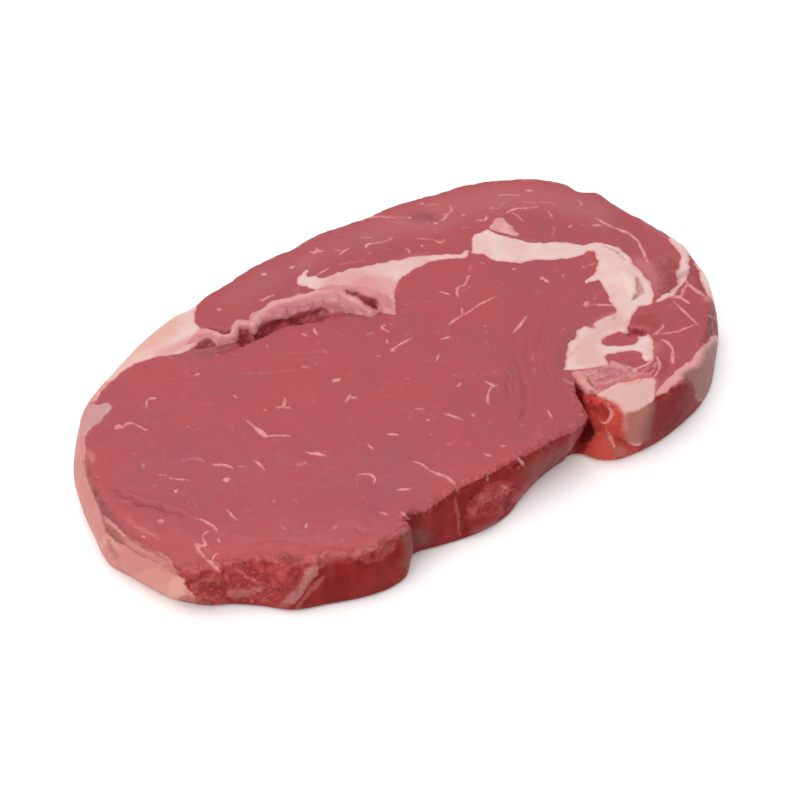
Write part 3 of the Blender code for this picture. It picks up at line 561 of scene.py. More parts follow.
# Colour, strength, softness of the edge, outline.
PATCHES = (
    (FAT_SHADE, 0.7, 1.5, ((34, -56), (44, -56.6), (53, -60.6), (50, -65), (44, -67), (36, -67),
        (35.6, -61))),
    (FAT_SHADE, 0.6, 2.0, ((38, -42), (46, -34), (54, -32), (64, -32), (63, -38), (54, -36.6), (49, -40),
        (46, -46))),
    (ROSE, 0.65, 1.6, ((6, 30), (12, 31), (18, 26), (18, 22), (13, 18), (9, 14), (6, 22))),
    (ROSE, 0.2, 6.0, ((-30, 50), (0, 54), (40, 51), (80, 38), (97, 8), (90, 2), (78, 22), (56, 32), (30, 40),
        (0, 46), (-30, 44))),
    (FLUSH_AND_RIM_HIGHLIGHT, 0.3, 5.0, ((-105, -6), (-98, -20), (-90, -32), (-78, -42), (-62, -50), (-46, -54), (-40, -58),
        (-60, -60), (-80, -54), (-100, -40), (-106, -20))),
    (LEAN_GREY, 0.75, 2.5, ((40, 46), (44, 46.4), (49, 42), (48, 38), (42, 41))),
    (PEACH, 0.75, 3.0, ((-86, 42), (-70, 44), (-60, 44.5), (-52, 46), (-46, 50), (-60, 57), (-88, 46))),
    (ROSE, 0.8, 0.7, ((-91, 35.6), (-87, 36), (-83, 38.4), (-79, 40.6), (-82, 44), (-94, 40))),
    (ROSE, 0.7, 1.5, ((-61, 41.4), (-56, 39), (-50, 38.4), (-43, 39), (-43, 43), (-48, 42), (-55, 42.5))),
    (GREY_PINK, 0.9, 0.8, TONGUE),
    (ROSE, 0.55, 1.2, ((-96, 28), (-90, 33.6), (-88, 36.6), (-94, 39), (-104, 30), (-99, 24))),
    (DULL_PINK, 1.0, 0.5, LEFT_RIND),
    (RIDGE_PINK, 0.6, 0.5, RIDGE),
    (SHADE_AND_DEEP_RED, 0.95, 0.7, CRACKS[4]),
    (SHADE_AND_DEEP_RED, 0.35, 1.0, LOOSE_CRUMBS[0]),
    (CREAM_AND_HIGHLIGHT, 0.7, 1.0, ((77.8, -19.3), (78.7, -21.3), (79, -23.3), (77.3, -26.2), (75.5, -28.3),
        (73.1, -29.9), (72.9, -28.3), (73.5, -25.7), (75.2, -22.8))),
    (FLAP_GAP_SHADE, 0.9, 0.4, ((80.6, -23.2), (80.7, -24.7), (79.6, -27), (78.6, -29.2), (76.9, -30.3),
        (75.8, -29.5), (77.3, -27.2), (78.7, -25.2))),
    (FLAP_GAP_SHADE, 0.9, 0.3, ((75.6, -28.6), (75.4, -30.1), (73.3, -31.3), (72.5, -30.6))),
    (MAUVE, 0.5, 0.8, ((-99, 30), (-101.4, 23.6), (-106, 17), (-109.6, 11.6), (-112, 6), (-113, 0),
        (-118, 2), (-108, 26))),
    # Painted shade in the band inside the left rim.
    (BROWN_AND_SHADE, 0.55, 0.6, ((-102.4, 17), (-104, 11), (-105.4, 6), (-105.9, 0), (-106.1, -5), (-107, -9),
        (-107.8, -14), (-108.8, -10), (-109, -4), (-108, 2), (-106.4, 7), (-104.8, 12))),
    (BROWN_AND_SHADE, 0.75, 0.5, ((-110.2, -7.8), (-109.4, -9), (-109.4, -13), (-109.8, -17), (-111, -17), (-112, -13),
        (-111.8, -9.5))),
    # Painted highlight on the rind's upper left.
    (PEACH, 0.6, 0.5, ((-116.6, -14.4), (-115, -12.6), (-113, -11.2), (-112.2, -12.4), (-112, -17),
        (-112.8, -19), (-113.4, -15))),
    (BROWN_AND_SHADE, 0.4, 0.4, ((-113.2, -12.9), (-112.6, -14), (-113.4, -17), (-114.2, -20.6), (-115.8, -21),
        (-115.4, -18), (-114.3, -15))),
    (SHADE_AND_DEEP_RED, 0.12, 3.0, ((-36, 46), (-26, 49), (-10, 54), (5, 56), (18, 55), (30, 53), (28, 47), (14, 43),
        (0, 47), (-10, 47), (-24, 41))),
    (ROSE, 0.6, 0.6, ((-110.6, -17.6), (-109, -17), (-107.2, -22), (-105, -26.6), (-103.6, -31),
        (-105, -33.6), (-107, -28), (-108.8, -23))),
    (PEACH, 0.35, 0.7, ((-108.6, -30), (-107, -33), (-105.4, -35.6), (-106, -37), (-110, -38.6), (-112, -43),
        (-118, -40), (-114.6, -29.6))),
    (PEACH, 0.9, 0.5, ((-109.8, -38.5), (-108.3, -37), (-106, -36.2), (-104.8, -37), (-104.7, -39),
        (-105.8, -41), (-107.5, -43.8), (-110, -43), (-111.4, -41))),
    (WALL_ROSE_AND_HIGHLIGHT, 0.8, 0.6, ((-109.4, -43.4), (-107, -43.6), (-105.8, -46), (-103, -49), (-105, -52),
        (-112, -48))),
    (PAINTED_SHADE, 0.3, 0.5, ((-104, -40.6), (-101, -40), (-98, -39.2), (-96.2, -39.6), (-96.6, -41.8),
        (-99.5, -42.2), (-103.6, -41.6))),
    (PAINTED_SHADE, 0.35, 0.5, ((-101, -44), (-98.6, -44.4), (-97, -46), (-96.4, -48.4), (-98, -50),
        (-100.6, -48.8), (-101.6, -46))),
    (PAINTED_SHADE, 0.35, 0.5, ((-98.8, -51), (-96.4, -50.6), (-95.4, -54), (-93.6, -57), (-96, -57),
        (-98.6, -53.6))),
    (PAINTED_SHADE, 0.35, 0.4, ((-88.8, -46), (-87.8, -49), (-86.6, -53), (-88, -52.4), (-89.4, -48.6))),
    (PAINTED_SHADE, 0.4, 0.4, ((-79.4, -50), (-77.8, -49), (-76.4, -50.4), (-76.8, -52), (-78.6, -51.6))),
    (PAINTED_SHADE, 0.35, 0.4, ((-85.6, -52.4), (-85, -50), (-83.4, -47), (-83.6, -51), (-84.4, -55),
        (-86.6, -55))),
    (WALL_ROSE_AND_HIGHLIGHT, 0.7, 0.4, ((-103.6, -41.2), (-100.4, -41.8), (-98, -43.2), (-96.2, -45.6), (-97.2, -45.4),
        (-99.6, -43.2), (-103, -42.4))),
    (DULL_PINK, 0.5, 0.6, ((-98, -49.6), (-95.8, -49.8), (-93.4, -52.2), (-90.8, -53.2), (-88.6, -54.4),
        (-91, -55), (-94, -54.6), (-97, -52.6))),
    (FLUSH_AND_RIM_HIGHLIGHT, 0.6, 0.8, ((-84, -50), (-80.4, -50), (-79, -52.6), (-81, -55), (-84.6, -56), (-86, -54))),
    (SHADE_AND_DEEP_RED, 0.3, 0.6, ((-80, -48.4), (-77, -48), (-75.6, -50.4), (-77.6, -52), (-80, -51))),
    (PAINTED_SHADE, 0.35, 0.4, ((-77.9, -47), (-76.3, -48.3), (-74.4, -50.7), (-74.4, -52.6), (-76.7, -52),
        (-78.4, -49.8))),
    (WALL_ROSE_AND_HIGHLIGHT, 0.85, 0.35, ((-89, -62.6), (-85, -61), (-80, -59.4), (-77, -57), (-75, -55.9),
        (-72.6, -56.2), (-71, -57.8), (-73, -58.8), (-77, -60.6), (-81, -62.5), (-84.6, -64),
        (-88.4, -63.6))),
    (ROSE, 0.35, 0.5, ((-77, -57.4), (-75, -56.2), (-73, -56.6), (-72, -57.8), (-75, -58.8))),
    (GREY_PINK, 0.5, 0.4, ((-88, -62.6), (-80, -59.8), (-75, -56.4), (-72, -57.6), (-77, -60.4),
        (-84.6, -63.6))),
    (WALL_ROSE_AND_HIGHLIGHT, 0.7, 0.35, ((-86.6, -66), (-83, -64.2), (-79, -62.6), (-75, -61.2), (-72.8, -61.8),
        (-76, -63.4), (-82, -64.8), (-85, -66.6))),
    (SHADE_AND_DEEP_RED, 0.7, 1.0, ((-71, -55), (-67, -56), (-64.4, -58.4), (-62.8, -61), (-66, -61), (-70, -58.6))),
    (PAINTED_SHADE, 0.6, 0.4, ((-53, -61.4), (-51, -61.2), (-50.2, -62.6), (-51.4, -63.6), (-52.6, -62.8))),
    (PAINTED_SHADE, 0.55, 0.4, ((-59, -63.6), (-57.4, -64), (-56.6, -65.2), (-58, -65.6), (-59.4, -64.8))),
    (WALL_ROSE_AND_HIGHLIGHT, 0.7, 0.5, ((-56.6, -61.4), (-54.6, -61.2), (-52.4, -63.2), (-51, -65), (-53, -65.4),
        (-55.6, -63.8))),
    (GREY_BROWN_AND_SHADE, 0.7, 1.2, ((-46.4, -61.4), (-43.6, -62), (-45.4, -66), (-48, -70), (-52, -74), (-54, -72),
        (-49.6, -67.6))),
    (PAINTED_SHADE, 0.7, 0.8, ((-41.2, -57.4), (-39.6, -57.2), (-36.8, -58.8), (-36.6, -60.4), (-38.4, -62.4),
        (-41, -63))),
    (GREY_BROWN_AND_SHADE, 0.6, 1.5, ((-45, -64), (-41.6, -64.4), (-40, -67), (-41.6, -70), (-45, -70))),
    (PAINTED_SHADE, 0.6, 0.8, ((-25, -61), (-20, -61.6), (-16, -61), (-16.6, -64), (-20, -65), (-24, -66.4),
        (-26.6, -65))),
    (SHADE_AND_DEEP_RED, 0.6, 2.0, ((-30, -71), (-27, -68.6), (-22, -67), (-18, -68.6), (-17, -72), (-20, -75),
        (-27, -76))),
    # Painted highlights on the lit lumps of the front wall.
    (WALL_ROSE_AND_HIGHLIGHT, 0.75, 0.6, ((-27.4, -69.2), (-25.4, -67.6), (-23, -67), (-20.6, -65.8), (-19, -64.6),
        (-17.4, -65.2), (-17.2, -67), (-18.2, -68.4), (-21, -67.6), (-23.4, -68.4), (-25.4, -69.3))),
    (WALL_ROSE_AND_HIGHLIGHT, 0.7, 0.5, ((-14.6, -68), (-13.6, -66), (-12.3, -65.4), (-11.2, -67), (-10.4, -68.2),
        (-12, -68.9), (-13.6, -68.9))),
    (WALL_ROSE_AND_HIGHLIGHT, 0.6, 0.5, ((-19.4, -73.6), (-18, -71.4), (-17, -71.8), (-17.6, -73.6), (-18.8, -74.6))),
    (BROWN_AND_SHADE, 0.55, 1.2, ((-31, -74.6), (-29, -73), (-25, -73.6), (-21, -74.8), (-24, -77), (-30, -77))),
    (GREY_BROWN_AND_SHADE, 0.45, 1.3, ((-3, -65.2), (2, -64.4), (8, -65.2), (12, -64.6), (15, -65.6), (13.6, -69),
        (8, -70), (3, -70.4), (-1, -70.6), (-4.6, -68.6))),
    (MAUVE, 0.35, 0.8, ((-14, -72.4), (-8, -70.6), (-2, -69.4), (-3, -72), (-12, -75))),
    (ROSE, 0.4, 1.5, ((-3, 34), (4, 37.6), (10, 36), (13.4, 33), (13, 24), (12, 17), (9, 13), (4, 24))),
    (SALMON, 0.7, 1.2, ((5.6, 25.6), (7.6, 25.4), (9.4, 22.6), (8.2, 20), (7, 21))),
    (MAUVE, 0.4, 1.2, ((-22.6, 37), (-18, 37.4), (-13, 36), (-13.6, 33.4), (-18, 33), (-22, 34))),
    # Painted shadow below the ridge's left end and the wedge's border.
    (BROWN_AND_SHADE, 0.5, 1.3, ((-60, 39.6), (-54, 37), (-50, 36.6), (-46, 33.4), (-40, 31), (-42, 29.6), (-50, 31.4),
        (-57, 36))),
    # Painted shade under the overhanging ridge.
    (PAINTED_SHADE, 0.75, 0.6, UNDERCUTS[1]),
    (PAINTED_SHADE, 0.2, 1.1, UNDERCUTS[0]),
    (SHADE_AND_DEEP_RED, 0.55, 0.5, ((-18, 28), (-14.6, 28.4), (-11, 27.2), (-8.4, 27.4), (-8, 25.4), (-11.4, 24),
        (-15, 25.4))),
    # Painted shade under the lip's edge.
    (BROWN_AND_SHADE, 0.45, 0.9, ((-6, 22.4), (-3, 19.4), (0, 15), (4, 13.6), (3, 12.4), (-1, 14), (-4, 18))),
    # Painted shade where the lean dips beside the gristle.
    (BROWN_AND_SHADE, 0.35, 1.5, ((34, -40), (38, -37.8), (43, -33.2), (48, -31.4), (52, -28.6), (44, -29), (38, -33),
        (33, -38))),
    (SALMON, 0.6, 0.6, ((35.4, -43.6), (38, -45), (37.4, -48), (36, -50.4), (35, -52.4), (33.6, -53.6),
        (32.5, -53), (32.6, -50.8), (33.6, -48), (34, -45))),
    (PALE_AND_HIGHLIGHT, 0.8, 0.5, ((36.6, -46.1), (36.7, -47.8), (35.9, -50.5), (34.6, -53.3), (32.2, -54.2), (33, -51.5),
        (34.6, -48.4))),
    (PAINTED_SHADE, 0.55, 0.4, ((36.2, -48.6), (36.7, -49.4), (36.7, -51.4), (36.1, -51.2), (35.9, -49.6))),
    (MAUVE, 0.35, 0.9, ((39, -46), (44, -46.6), (48, -47.4), (50.4, -51), (47, -51.4), (44, -49.4),
        (40, -48.4))),
    (DULL_PINK, 0.3, 1.5, ((60, -49), (64, -48.6), (66, -50.6), (62, -53), (58, -51.6))),
    (DULL_PINK, 0.22, 1.5, ((-1, 39), (6, 36), (14, 34), (24, 31.6), (35, 28), (34, 24), (24, 26), (14, 28),
        (6, 30))),
    # Painted highlight along the crest of the torn front rim.
    (SALMON, 0.2, 0.9, ((-73, -54.8), (-66.6, -56.4), (-61.4, -59), (-55.4, -60.4), (-50.4, -61.4),
        (-49.4, -63), (-55, -62.8), (-61, -61.8), (-66, -59.6), (-72, -57.4))),
    (MAUVE, 0.6, 1.2, ((40.6, -49.4), (45, -49.2), (50, -52.4), (49, -55.6), (44, -54.6), (40, -53))),
    (BROWN_AND_SHADE, 0.4, 0.6, ((41, -47.4), (45, -48), (46.6, -49.4), (44, -50), (41.4, -49))),
    (SHADE_AND_DEEP_RED, 0.45, 0.7, ((36, -53.2), (41, -54.2), (46, -56), (51, -58.4), (54, -60), (58, -60.6),
        (62, -58), (60, -55.4), (55, -57.6), (50, -56), (44, -54.6), (38, -53))),
    # The block's fat wall, painted darker as painted shade.
    (BEIGE_AND_SHADED_FAT, 0.95, 0.5, ((36.4, -66.6), (40, -67.4), (45, -67.6), (46.4, -69), (42, -72.1), (37.6, -74.9),
        (34.7, -77.8), (30.8, -78), (28.4, -75.6), (28.4, -72), (31, -70), (34, -68.6))),
    (BROWN_AND_SHADE, 0.35, 1.0, ((38, -72), (42, -70), (45, -69), (40, -74.6), (34, -78.6), (32, -76))),
    (GREY_BROWN_AND_SHADE, 0.5, 0.9, ((46, -67.8), (47.4, -68.6), (43, -72.4), (38, -75.6), (34.6, -79), (32, -78.6),
        (36, -74.6), (41, -71))),
    (SALMON, 0.7, 1.0, ((34.6, -57), (36.4, -60), (37.6, -63.4), (36.6, -66.4), (34, -69), (31.6, -71.4),
        (30.4, -70.4), (34.6, -66), (36, -62))),
    (WET_RED, 0.9, 0.6, WET),
    (CORAL, 0.7, 0.9, ((31.7, -53.8), (33, -56.9), (31.1, -60.8), (28, -63.8), (25.3, -63.7),
        (27.7, -59.3))),
    (ORANGE_RED, 0.85, 0.9, ((23, -66.6), (19.6, -69), (15, -71), (15.4, -75), (18.4, -79), (22, -78),
        (24.4, -73.6), (26.4, -69.6))),
    (ORANGE_RED, 0.6, 0.8, ((27.6, -61), (26.4, -64), (27.4, -67.6), (31, -67.8), (34.6, -65.4), (35.8, -62),
        (34.6, -59), (33, -63.6), (29.6, -64.6))),
    (CORAL, 0.8, 0.5, ((30, -54.6), (32.4, -53.4), (34, -55.2), (33.8, -58), (32, -58.6), (30.2, -56.6))),
    (SHADE_AND_DEEP_RED, 0.3, 0.6, ((29, -57.4), (31, -58.4), (31.6, -61), (30.4, -63.2), (28.6, -61))),
    (BEIGE_AND_SHADED_FAT, 0.85, 0.4, ((22, -77.2), (24, -74.8), (26.3, -76), (25.6, -78.4), (23, -78.8))),
    (BEIGE_AND_SHADED_FAT, 0.6, 0.5, ((26.8, -68.4), (26.2, -71), (24.4, -74.4), (22, -77), (20.6, -77), (23.6, -72.6),
        (25.4, -69))),
    (PAINTED_SHADE, 0.5, 0.5, ((27.2, -70.6), (28.2, -73), (27.8, -77.4), (27, -78.6), (26.8, -75))),
    # Painted shade down the crevice between the eye and the fat lobe, darkest in its gap.
    (PAINTED_SHADE, 0.6, 0.5, ((31.4, -48.4), (32.4, -49.4), (31.6, -51.6), (29.6, -54.4), (26.6, -59.6),
        (24.6, -62.4), (25.6, -60), (28.4, -55.4))),
    (PAINTED_SHADE, 0.75, 0.8, ((26, -60.6), (22, -63.4), (17, -66), (14, -69), (15.2, -71), (19, -68.8),
        (23.4, -65.6), (26, -62.6))),
    (CREVICE_SHADOW, 0.8, 0.6, ((24.4, -64.7), (23, -67.2), (20.3, -68.8), (20.7, -67), (22.9, -65), (24, -63.4))),
    (BROWN_AND_SHADE, 0.55, 0.8, ((20, -61), (25, -59.6), (26, -60.6), (22, -63), (16, -66), (12, -69), (14, -65.4))),
    (ROSE, 0.7, 0.6, LOBE_RIM),
    # Painted shade on the lobe's fat wall.
    (GREY_BROWN_AND_SHADE, 0.8, 1.2, ((61, -64.8), (68, -65), (75, -61.4), (80, -60), (72, -70), (60, -78), (57, -75),
        (60, -70))),
    (PAINTED_SHADE, 0.65, 1.2, ((46, -70), (54, -69), (59, -69), (57.6, -73), (50, -77), (38, -80), (36, -77.6),
        (40, -75.4))),
    (SHADE_AND_DEEP_RED, 0.45, 0.8, ((47.4, -68.2), (52, -67.8), (56, -67.8), (54, -69.8), (48, -70.6),
        (45.4, -71.4))),
    (RIDGE_PINK, 0.6, 2.0, ((84.4, -18), (87, -15.6), (89, -18.6), (88.6, -24), (86, -29), (82.4, -31.6),
        (80, -32.6), (83.2, -26))),
    (WALL_ROSE_AND_HIGHLIGHT, 0.5, 1.0, ((90, -20.6), (96, -20.4), (98.6, -22.4), (96, -26), (91, -29), (88, -28.6),
        (89, -24))),
    (BROWN_AND_SHADE, 0.4, 0.8, ((81.6, -32.6), (85, -31), (87.6, -32), (86, -34), (82.6, -34.2))),
    (PAINTED_SHADE, 0.35, 0.6, ((90.4, -31.8), (94, -33.6), (97, -31.6), (95, -35.6), (92.6, -38.6), (92.6, -42),
        (93.8, -41.4), (97, -35.4), (98.6, -31.4))),
    (PEACH, 0.5, 0.6, ((90.4, -43.6), (92.4, -44.4), (91.6, -46.2), (89.6, -45.4))),
    (SHADE_AND_DEEP_RED, 0.4, 1.0, ((65, -38), (68.6, -37), (72.4, -39), (72.6, -43), (68, -45), (66.4, -42.6))),
    (MAUVE, 0.3, 3.0, ((36, 46), (42, 46), (47, 40), (50, 34), (45, 33), (38, 40))),
    (MAUVE, 0.35, 2.0, ((-2, 49), (4, 50.6), (6, 48), (2, 45.6), (-2, 46.4))),
    (PEACH, 0.75, 0.8, ((79.6, 42.4), (82, 40), (85.4, 36.6), (88.6, 34), (92, 36), (86, 43))),
    (ROSE, 0.6, 0.9, ((84, 36.6), (88, 33.6), (90.6, 31), (93, 26.6), (94.6, 24), (98, 28), (92, 37),
        (86, 40))),
    (BROWN_AND_SHADE, 0.5, 0.6, ((91, 26), (93, 24), (94.6, 21.6), (96, 22.4), (95.4, 26), (92.4, 28))),
    (MAUVE, 0.45, 0.6, ((100.4, -4), (101, -10), (101.6, -15), (104, -16), (104, -4))),
    (MAUVE, 0.4, 0.7, ((1, 56.6), (4, 56.2), (8, 56.8), (8, 59), (1, 58.4))),
)

# Lines of the same kind: colour, strength, half width, softness, points.
LINES = (
    (BROWN_AND_SHADE, 0.75, 0.3, 0.35, (-102.5, 17), (-104.7, 11), (-106, 7.5), (-107.3, 4), (-108.3, 0), (-109, -4.5),
        (-110.3, -7.5), (-111.7, -10.5), (-111.5, -14), (-110.6, -17), (-109.6, -20.5), (-108.6, -24),
        (-107.2, -28), (-105.8, -31.5), (-105.3, -34.5)),
    (WALL_ROSE_AND_HIGHLIGHT, 0.75, 1.1, 0.7, (-109, -9), (-108.7, -14), (-108, -19), (-107, -23.4), (-105.9, -27.2),
        (-104.7, -31), (-104, -34.8)),
    (BROWN_AND_SHADE, 0.5, 0.2, 0.3, (-107.8, -15), (-106.8, -20.6), (-105.2, -26.6), (-103.9, -31.6)),
    (SALMON, 0.6, 0.25, 0.35, (-108.8, -16), (-108, -21), (-106.6, -25.6), (-105, -31)),
    (SALMON, 0.5, 0.3, 0.4, (-104.6, -10), (-103.6, -15.6), (-101.8, -19.6), (-101.6, -22.4)),
    # Painted highlight along the crest of the torn rim.
    (SALMON, 0.4, 0.4, 0.4, (-72.8, -53.6), (-70.2, -54.5), (-66.4, -55.6)),
    (BROWN_AND_SHADE, 0.4, 0.25, 0.3, (-105.8, -23), (-105.2, -26), (-106, -29.6)),
    (ROSE, 0.6, 0.7, 0.6, (-99, 20), (-99.6, 17.4), (-100.8, 15)),
    # Painted highlight along the left rim.
    (FLUSH_AND_RIM_HIGHLIGHT, 0.5, 1.0, 0.9, (-103.6, 10), (-104.8, 5), (-105.2, 0), (-105.2, -5), (-104.4, -9), (-104, -14)),
    (PAINTED_SHADE, 0.4, 0.3, 0.35, (-103.6, -41), (-100, -40.8), (-96.4, -40.6)),
    (PAINTED_SHADE, 0.4, 0.25, 0.3, (-91.6, -55.2), (-88, -55.6), (-86.8, -54.8)),
    (SALMON, 0.5, 0.25, 0.3, (-90.8, -44), (-89.7, -48), (-88.7, -52), (-87.2, -54.8)),
    # A pale line of fascia beside the groove in the front wall, and painted shade in the groove.
    (WALL_ROSE_AND_HIGHLIGHT, 0.85, 0.35, 0.3, (-25.2, -61), (-28.6, -66), (-31, -69.6), (-33.6, -73.6)),
    (PAINTED_SHADE, 0.8, 0.5, 0.5, (-24.8, -60.4), (-27.6, -66.6), (-30, -70.4), (-32.2, -73.6)),
    (WALL_ROSE_AND_HIGHLIGHT, 0.4, 0.3, 0.3, (-26.6, -62.8), (-29.6, -66)),
    # Painted highlight along the front rim.
    (FLUSH_AND_RIM_HIGHLIGHT, 0.4, 0.9, 0.9, (-72, -53), (-66, -54), (-62, -58), (-57, -59), (-51, -60), (-47, -60),
        (-43.4, -58)),
    (FLUSH_AND_RIM_HIGHLIGHT, 0.4, 0.7, 0.8, (-38, -57), (-34, -59), (-31.6, -59.4), (-27, -57.8), (-23, -56.6)),
    (FLUSH_AND_RIM_HIGHLIGHT, 0.4, 0.8, 0.8, (-20, -58.8), (-14, -57.8), (-8, -57.8), (-3, -58.4), (4, -59), (9, -57.4),
        (15, -59.4), (21, -60)),
    # Painted highlight along the ridge's crest.
    (PALE_AND_HIGHLIGHT, 0.7, 0.9, 0.9, (-45, 42), (-42, 40.6), (-40.6, 38), (-39, 35.8), (-37.4, 34)),
    (PALE_AND_HIGHLIGHT, 0.6, 0.7, 0.7, (-36.6, 35.6), (-34.6, 37.4), (-32.6, 38), (-31, 36.4)),
    (PALE_AND_HIGHLIGHT, 0.7, 1.0, 0.9, (-29, 35), (-27, 37), (-24, 37.4), (-20, 38), (-16, 37.4), (-11, 36), (-6, 34.6),
        (-1, 32)),
    (PALE_AND_HIGHLIGHT, 0.8, 0.8, 0.7, (0.6, 29), (2.2, 24.6), (3, 20), (3.4, 16.4)),
    (PALE_AND_HIGHLIGHT, 0.6, 0.4, 0.4, (7, 16), (8.6, 13)),
    # Painted shade on the lower flank of the ridge.
    (MAUVE, 0.5, 0.6, 0.8, (-30, 32.6), (-26, 34.6), (-22, 32.8)),
    (MAUVE, 0.85, 1.3, 1.8, (-24, 34.2), (-18, 34), (-12, 32), (-7, 29.4), (-4, 25.4), (-2, 22)),
    # Painted shade in the pleats' folds.
    (PLEAT_SHADE, 0.45, 0.34, 0.35, (-0.4, 28.6), (-2.6, 24)),
    (PLEAT_SHADE, 0.45, 0.34, 0.35, (1, 25), (-0.8, 20)),
    (PLEAT_SHADE, 0.45, 0.3, 0.35, (2.4, 21.6), (1.4, 17)),
    (PLEAT_SHADE, 0.45, 0.34, 0.35, (-17, 33.6), (-18.4, 30.6)),
    (PLEAT_SHADE, 0.45, 0.3, 0.35, (-12.6, 33), (-14.4, 30.4)),
    (PLEAT_SHADE, 0.45, 0.3, 0.35, (-25, 36), (-27.6, 33)),
    (PLEAT_SHADE, 0.45, 0.3, 0.35, (-8, 31), (-9.4, 29)),
    (PLEAT_SHADE, 0.45, 0.35, 0.35, (-42, 35.6), (-43, 33.4)),
    (PLEAT_SHADE, 0.45, 0.3, 0.35, (-38.6, 33.8), (-38.2, 31.4)),
    (PLEAT_SHADE, 0.45, 0.3, 0.35, (8, 17), (6.6, 14.4)),
    (PLEAT_SHADE, 0.45, 0.3, 0.35, (-21, 36.4), (-22.6, 33.4)),
    (PLEAT_SHADE, 0.45, 0.3, 0.35, (-5, 31.4), (-6, 28)),
    # Painted highlight on the pleats' crests.
    (PALE_AND_HIGHLIGHT, 0.7, 0.4, 0.4, (-1.2, 26.4), (-2, 22.6)),
    (PALE_AND_HIGHLIGHT, 0.7, 0.4, 0.4, (0.2, 23), (-0.2, 18.4)),
    (PALE_AND_HIGHLIGHT, 0.6, 0.4, 0.4, (-10.6, 31), (-11.4, 29.6)),
    (PALE_AND_HIGHLIGHT, 0.6, 0.4, 0.4, (-15.4, 32), (-16.4, 30.4)),
    (PALE_AND_HIGHLIGHT, 0.6, 0.4, 0.4, (-20.4, 33.4), (-20.8, 31.2)),
    (PALE_AND_HIGHLIGHT, 0.6, 0.4, 0.4, (-26.4, 34.6), (-28.4, 32.4)),
    # Painted shade in the grooves of the right fat and along the band's edge by the flap.
    (BROWN_AND_SHADE, 0.55, 0.3, 0.35, (82.3, -5), (83.5, -7.5), (84, -10), (83.8, -12.5), (83.5, -14.5)),
    (BROWN_AND_SHADE, 0.5, 0.4, 0.4, (72.3, -30.8), (74.5, -30), (76, -29), (77, -27.5), (78.5, -26), (80, -24),
        (81, -23.3)),
    (BROWN_AND_SHADE, 0.6, 0.3, 0.3, (59.4, 25.4), (58.7, 23.6), (59.4, 21.2), (61.6, 18), (63.4, 14.2), (65.2, 12),
        (67, 9.6)),
    (BROWN_AND_SHADE, 0.3, 0.25, 0.25, (2.4, 35), (3, 36), (4, 37)),
    (BROWN_AND_SHADE, 0.35, 0.3, 0.4, (39.6, -37.6), (42, -36.4), (44.6, -35.6)),
    (BROWN_AND_SHADE, 0.3, 0.25, 0.3, (52.4, -35.6), (54, -35), (55.4, -35.6)),
    (BROWN_AND_SHADE, 0.45, 0.25, 0.3, (61, -34.2), (61.6, -32.6), (63.2, -32)),
    (BROWN_AND_SHADE, 0.4, 0.3, 0.3, (60, -48.4), (60.6, -47.6)),
    (PAINTED_SHADE, 0.5, 0.35, 0.35, (35, -42.8), (34, -44.4), (33.2, -46.6), (32.4, -49)),
    (BROWN_AND_SHADE, 0.85, 0.4, 0.35, (37.8, -45.8), (37.5, -47.9), (36.9, -49.9), (36.2, -51.6)),
    (BROWN_AND_SHADE, 0.55, 0.3, 0.3, (38.6, -46.8), (39.4, -48.6)),
    (SHADE_AND_DEEP_RED, 0.7, 0.35, 0.35, (31.9, -54.2), (32.6, -56.2), (31, -57.2), (29.8, -55.6), (31, -54.3),
        (31.9, -54.2)),
    (PALE_AND_HIGHLIGHT, 0.7, 0.3, 0.3, (44.6, -55.2), (49, -57), (53, -58.6)),
    (ROSE, 0.7, 0.35, 0.35, (48.6, -56.4), (52, -56.6), (55, -55.8), (58, -56.4)),
    (CORAL, 0.5, 0.4, 0.4, (44, -57), (48, -58.6), (53, -60)),
    (SHADE_AND_DEEP_RED, 0.6, 0.25, 0.3, (47, -53.6), (50, -53), (54, -53.4)),
    (SHADE_AND_DEEP_RED, 0.5, 0.25, 0.3, (37, -51), (40.6, -51), (44, -51.6)),
    (PALE_AND_HIGHLIGHT, 0.7, 0.3, 0.3, (50, -54.4), (54.6, -54.4), (58.4, -54)),
    (PALE_AND_HIGHLIGHT, 0.6, 0.3, 0.3, (53, -58.8), (57, -57.4), (60.2, -55.4)),
    (PALE_AND_HIGHLIGHT, 0.6, 0.35, 0.35, (36, -45.4), (39, -47), (42, -47.2)),
    (PALE_AND_HIGHLIGHT, 0.55, 0.3, 0.4, (37.4, -53), (41, -53), (45, -53.8)),
    (FLUSH_AND_RIM_HIGHLIGHT, 0.7, 1.0, 1.0, (37.2, -52.4), (39.6, -53.4), (38, -54.6)),
    (SHADE_AND_DEEP_RED, 0.3, 0.3, 0.35, (-100.7, 6.5), (-97.6, -3.4), (-93.3, -9.9), (-88.9, -17.6)),
    (FLUSH_AND_RIM_HIGHLIGHT, 0.7, 0.5, 0.5, (38, -54.2), (43, -55), (47, -56.2), (52, -58.8)),
    (FLUSH_AND_RIM_HIGHLIGHT, 0.6, 0.35, 0.4, (37.6, -50), (41, -51.6), (45, -52)),
    (SALMON, 0.5, 0.35, 0.3, (40.2, -48), (40.6, -49.4), (41, -50.4)),
    (SALMON, 0.5, 0.8, 0.8, (48, -48.6), (48.6, -51), (48.8, -53.4)),
    (ROSE, 0.5, 0.5, 0.4, (31, -44), (31.8, -46), (31.6, -48.4)),
)

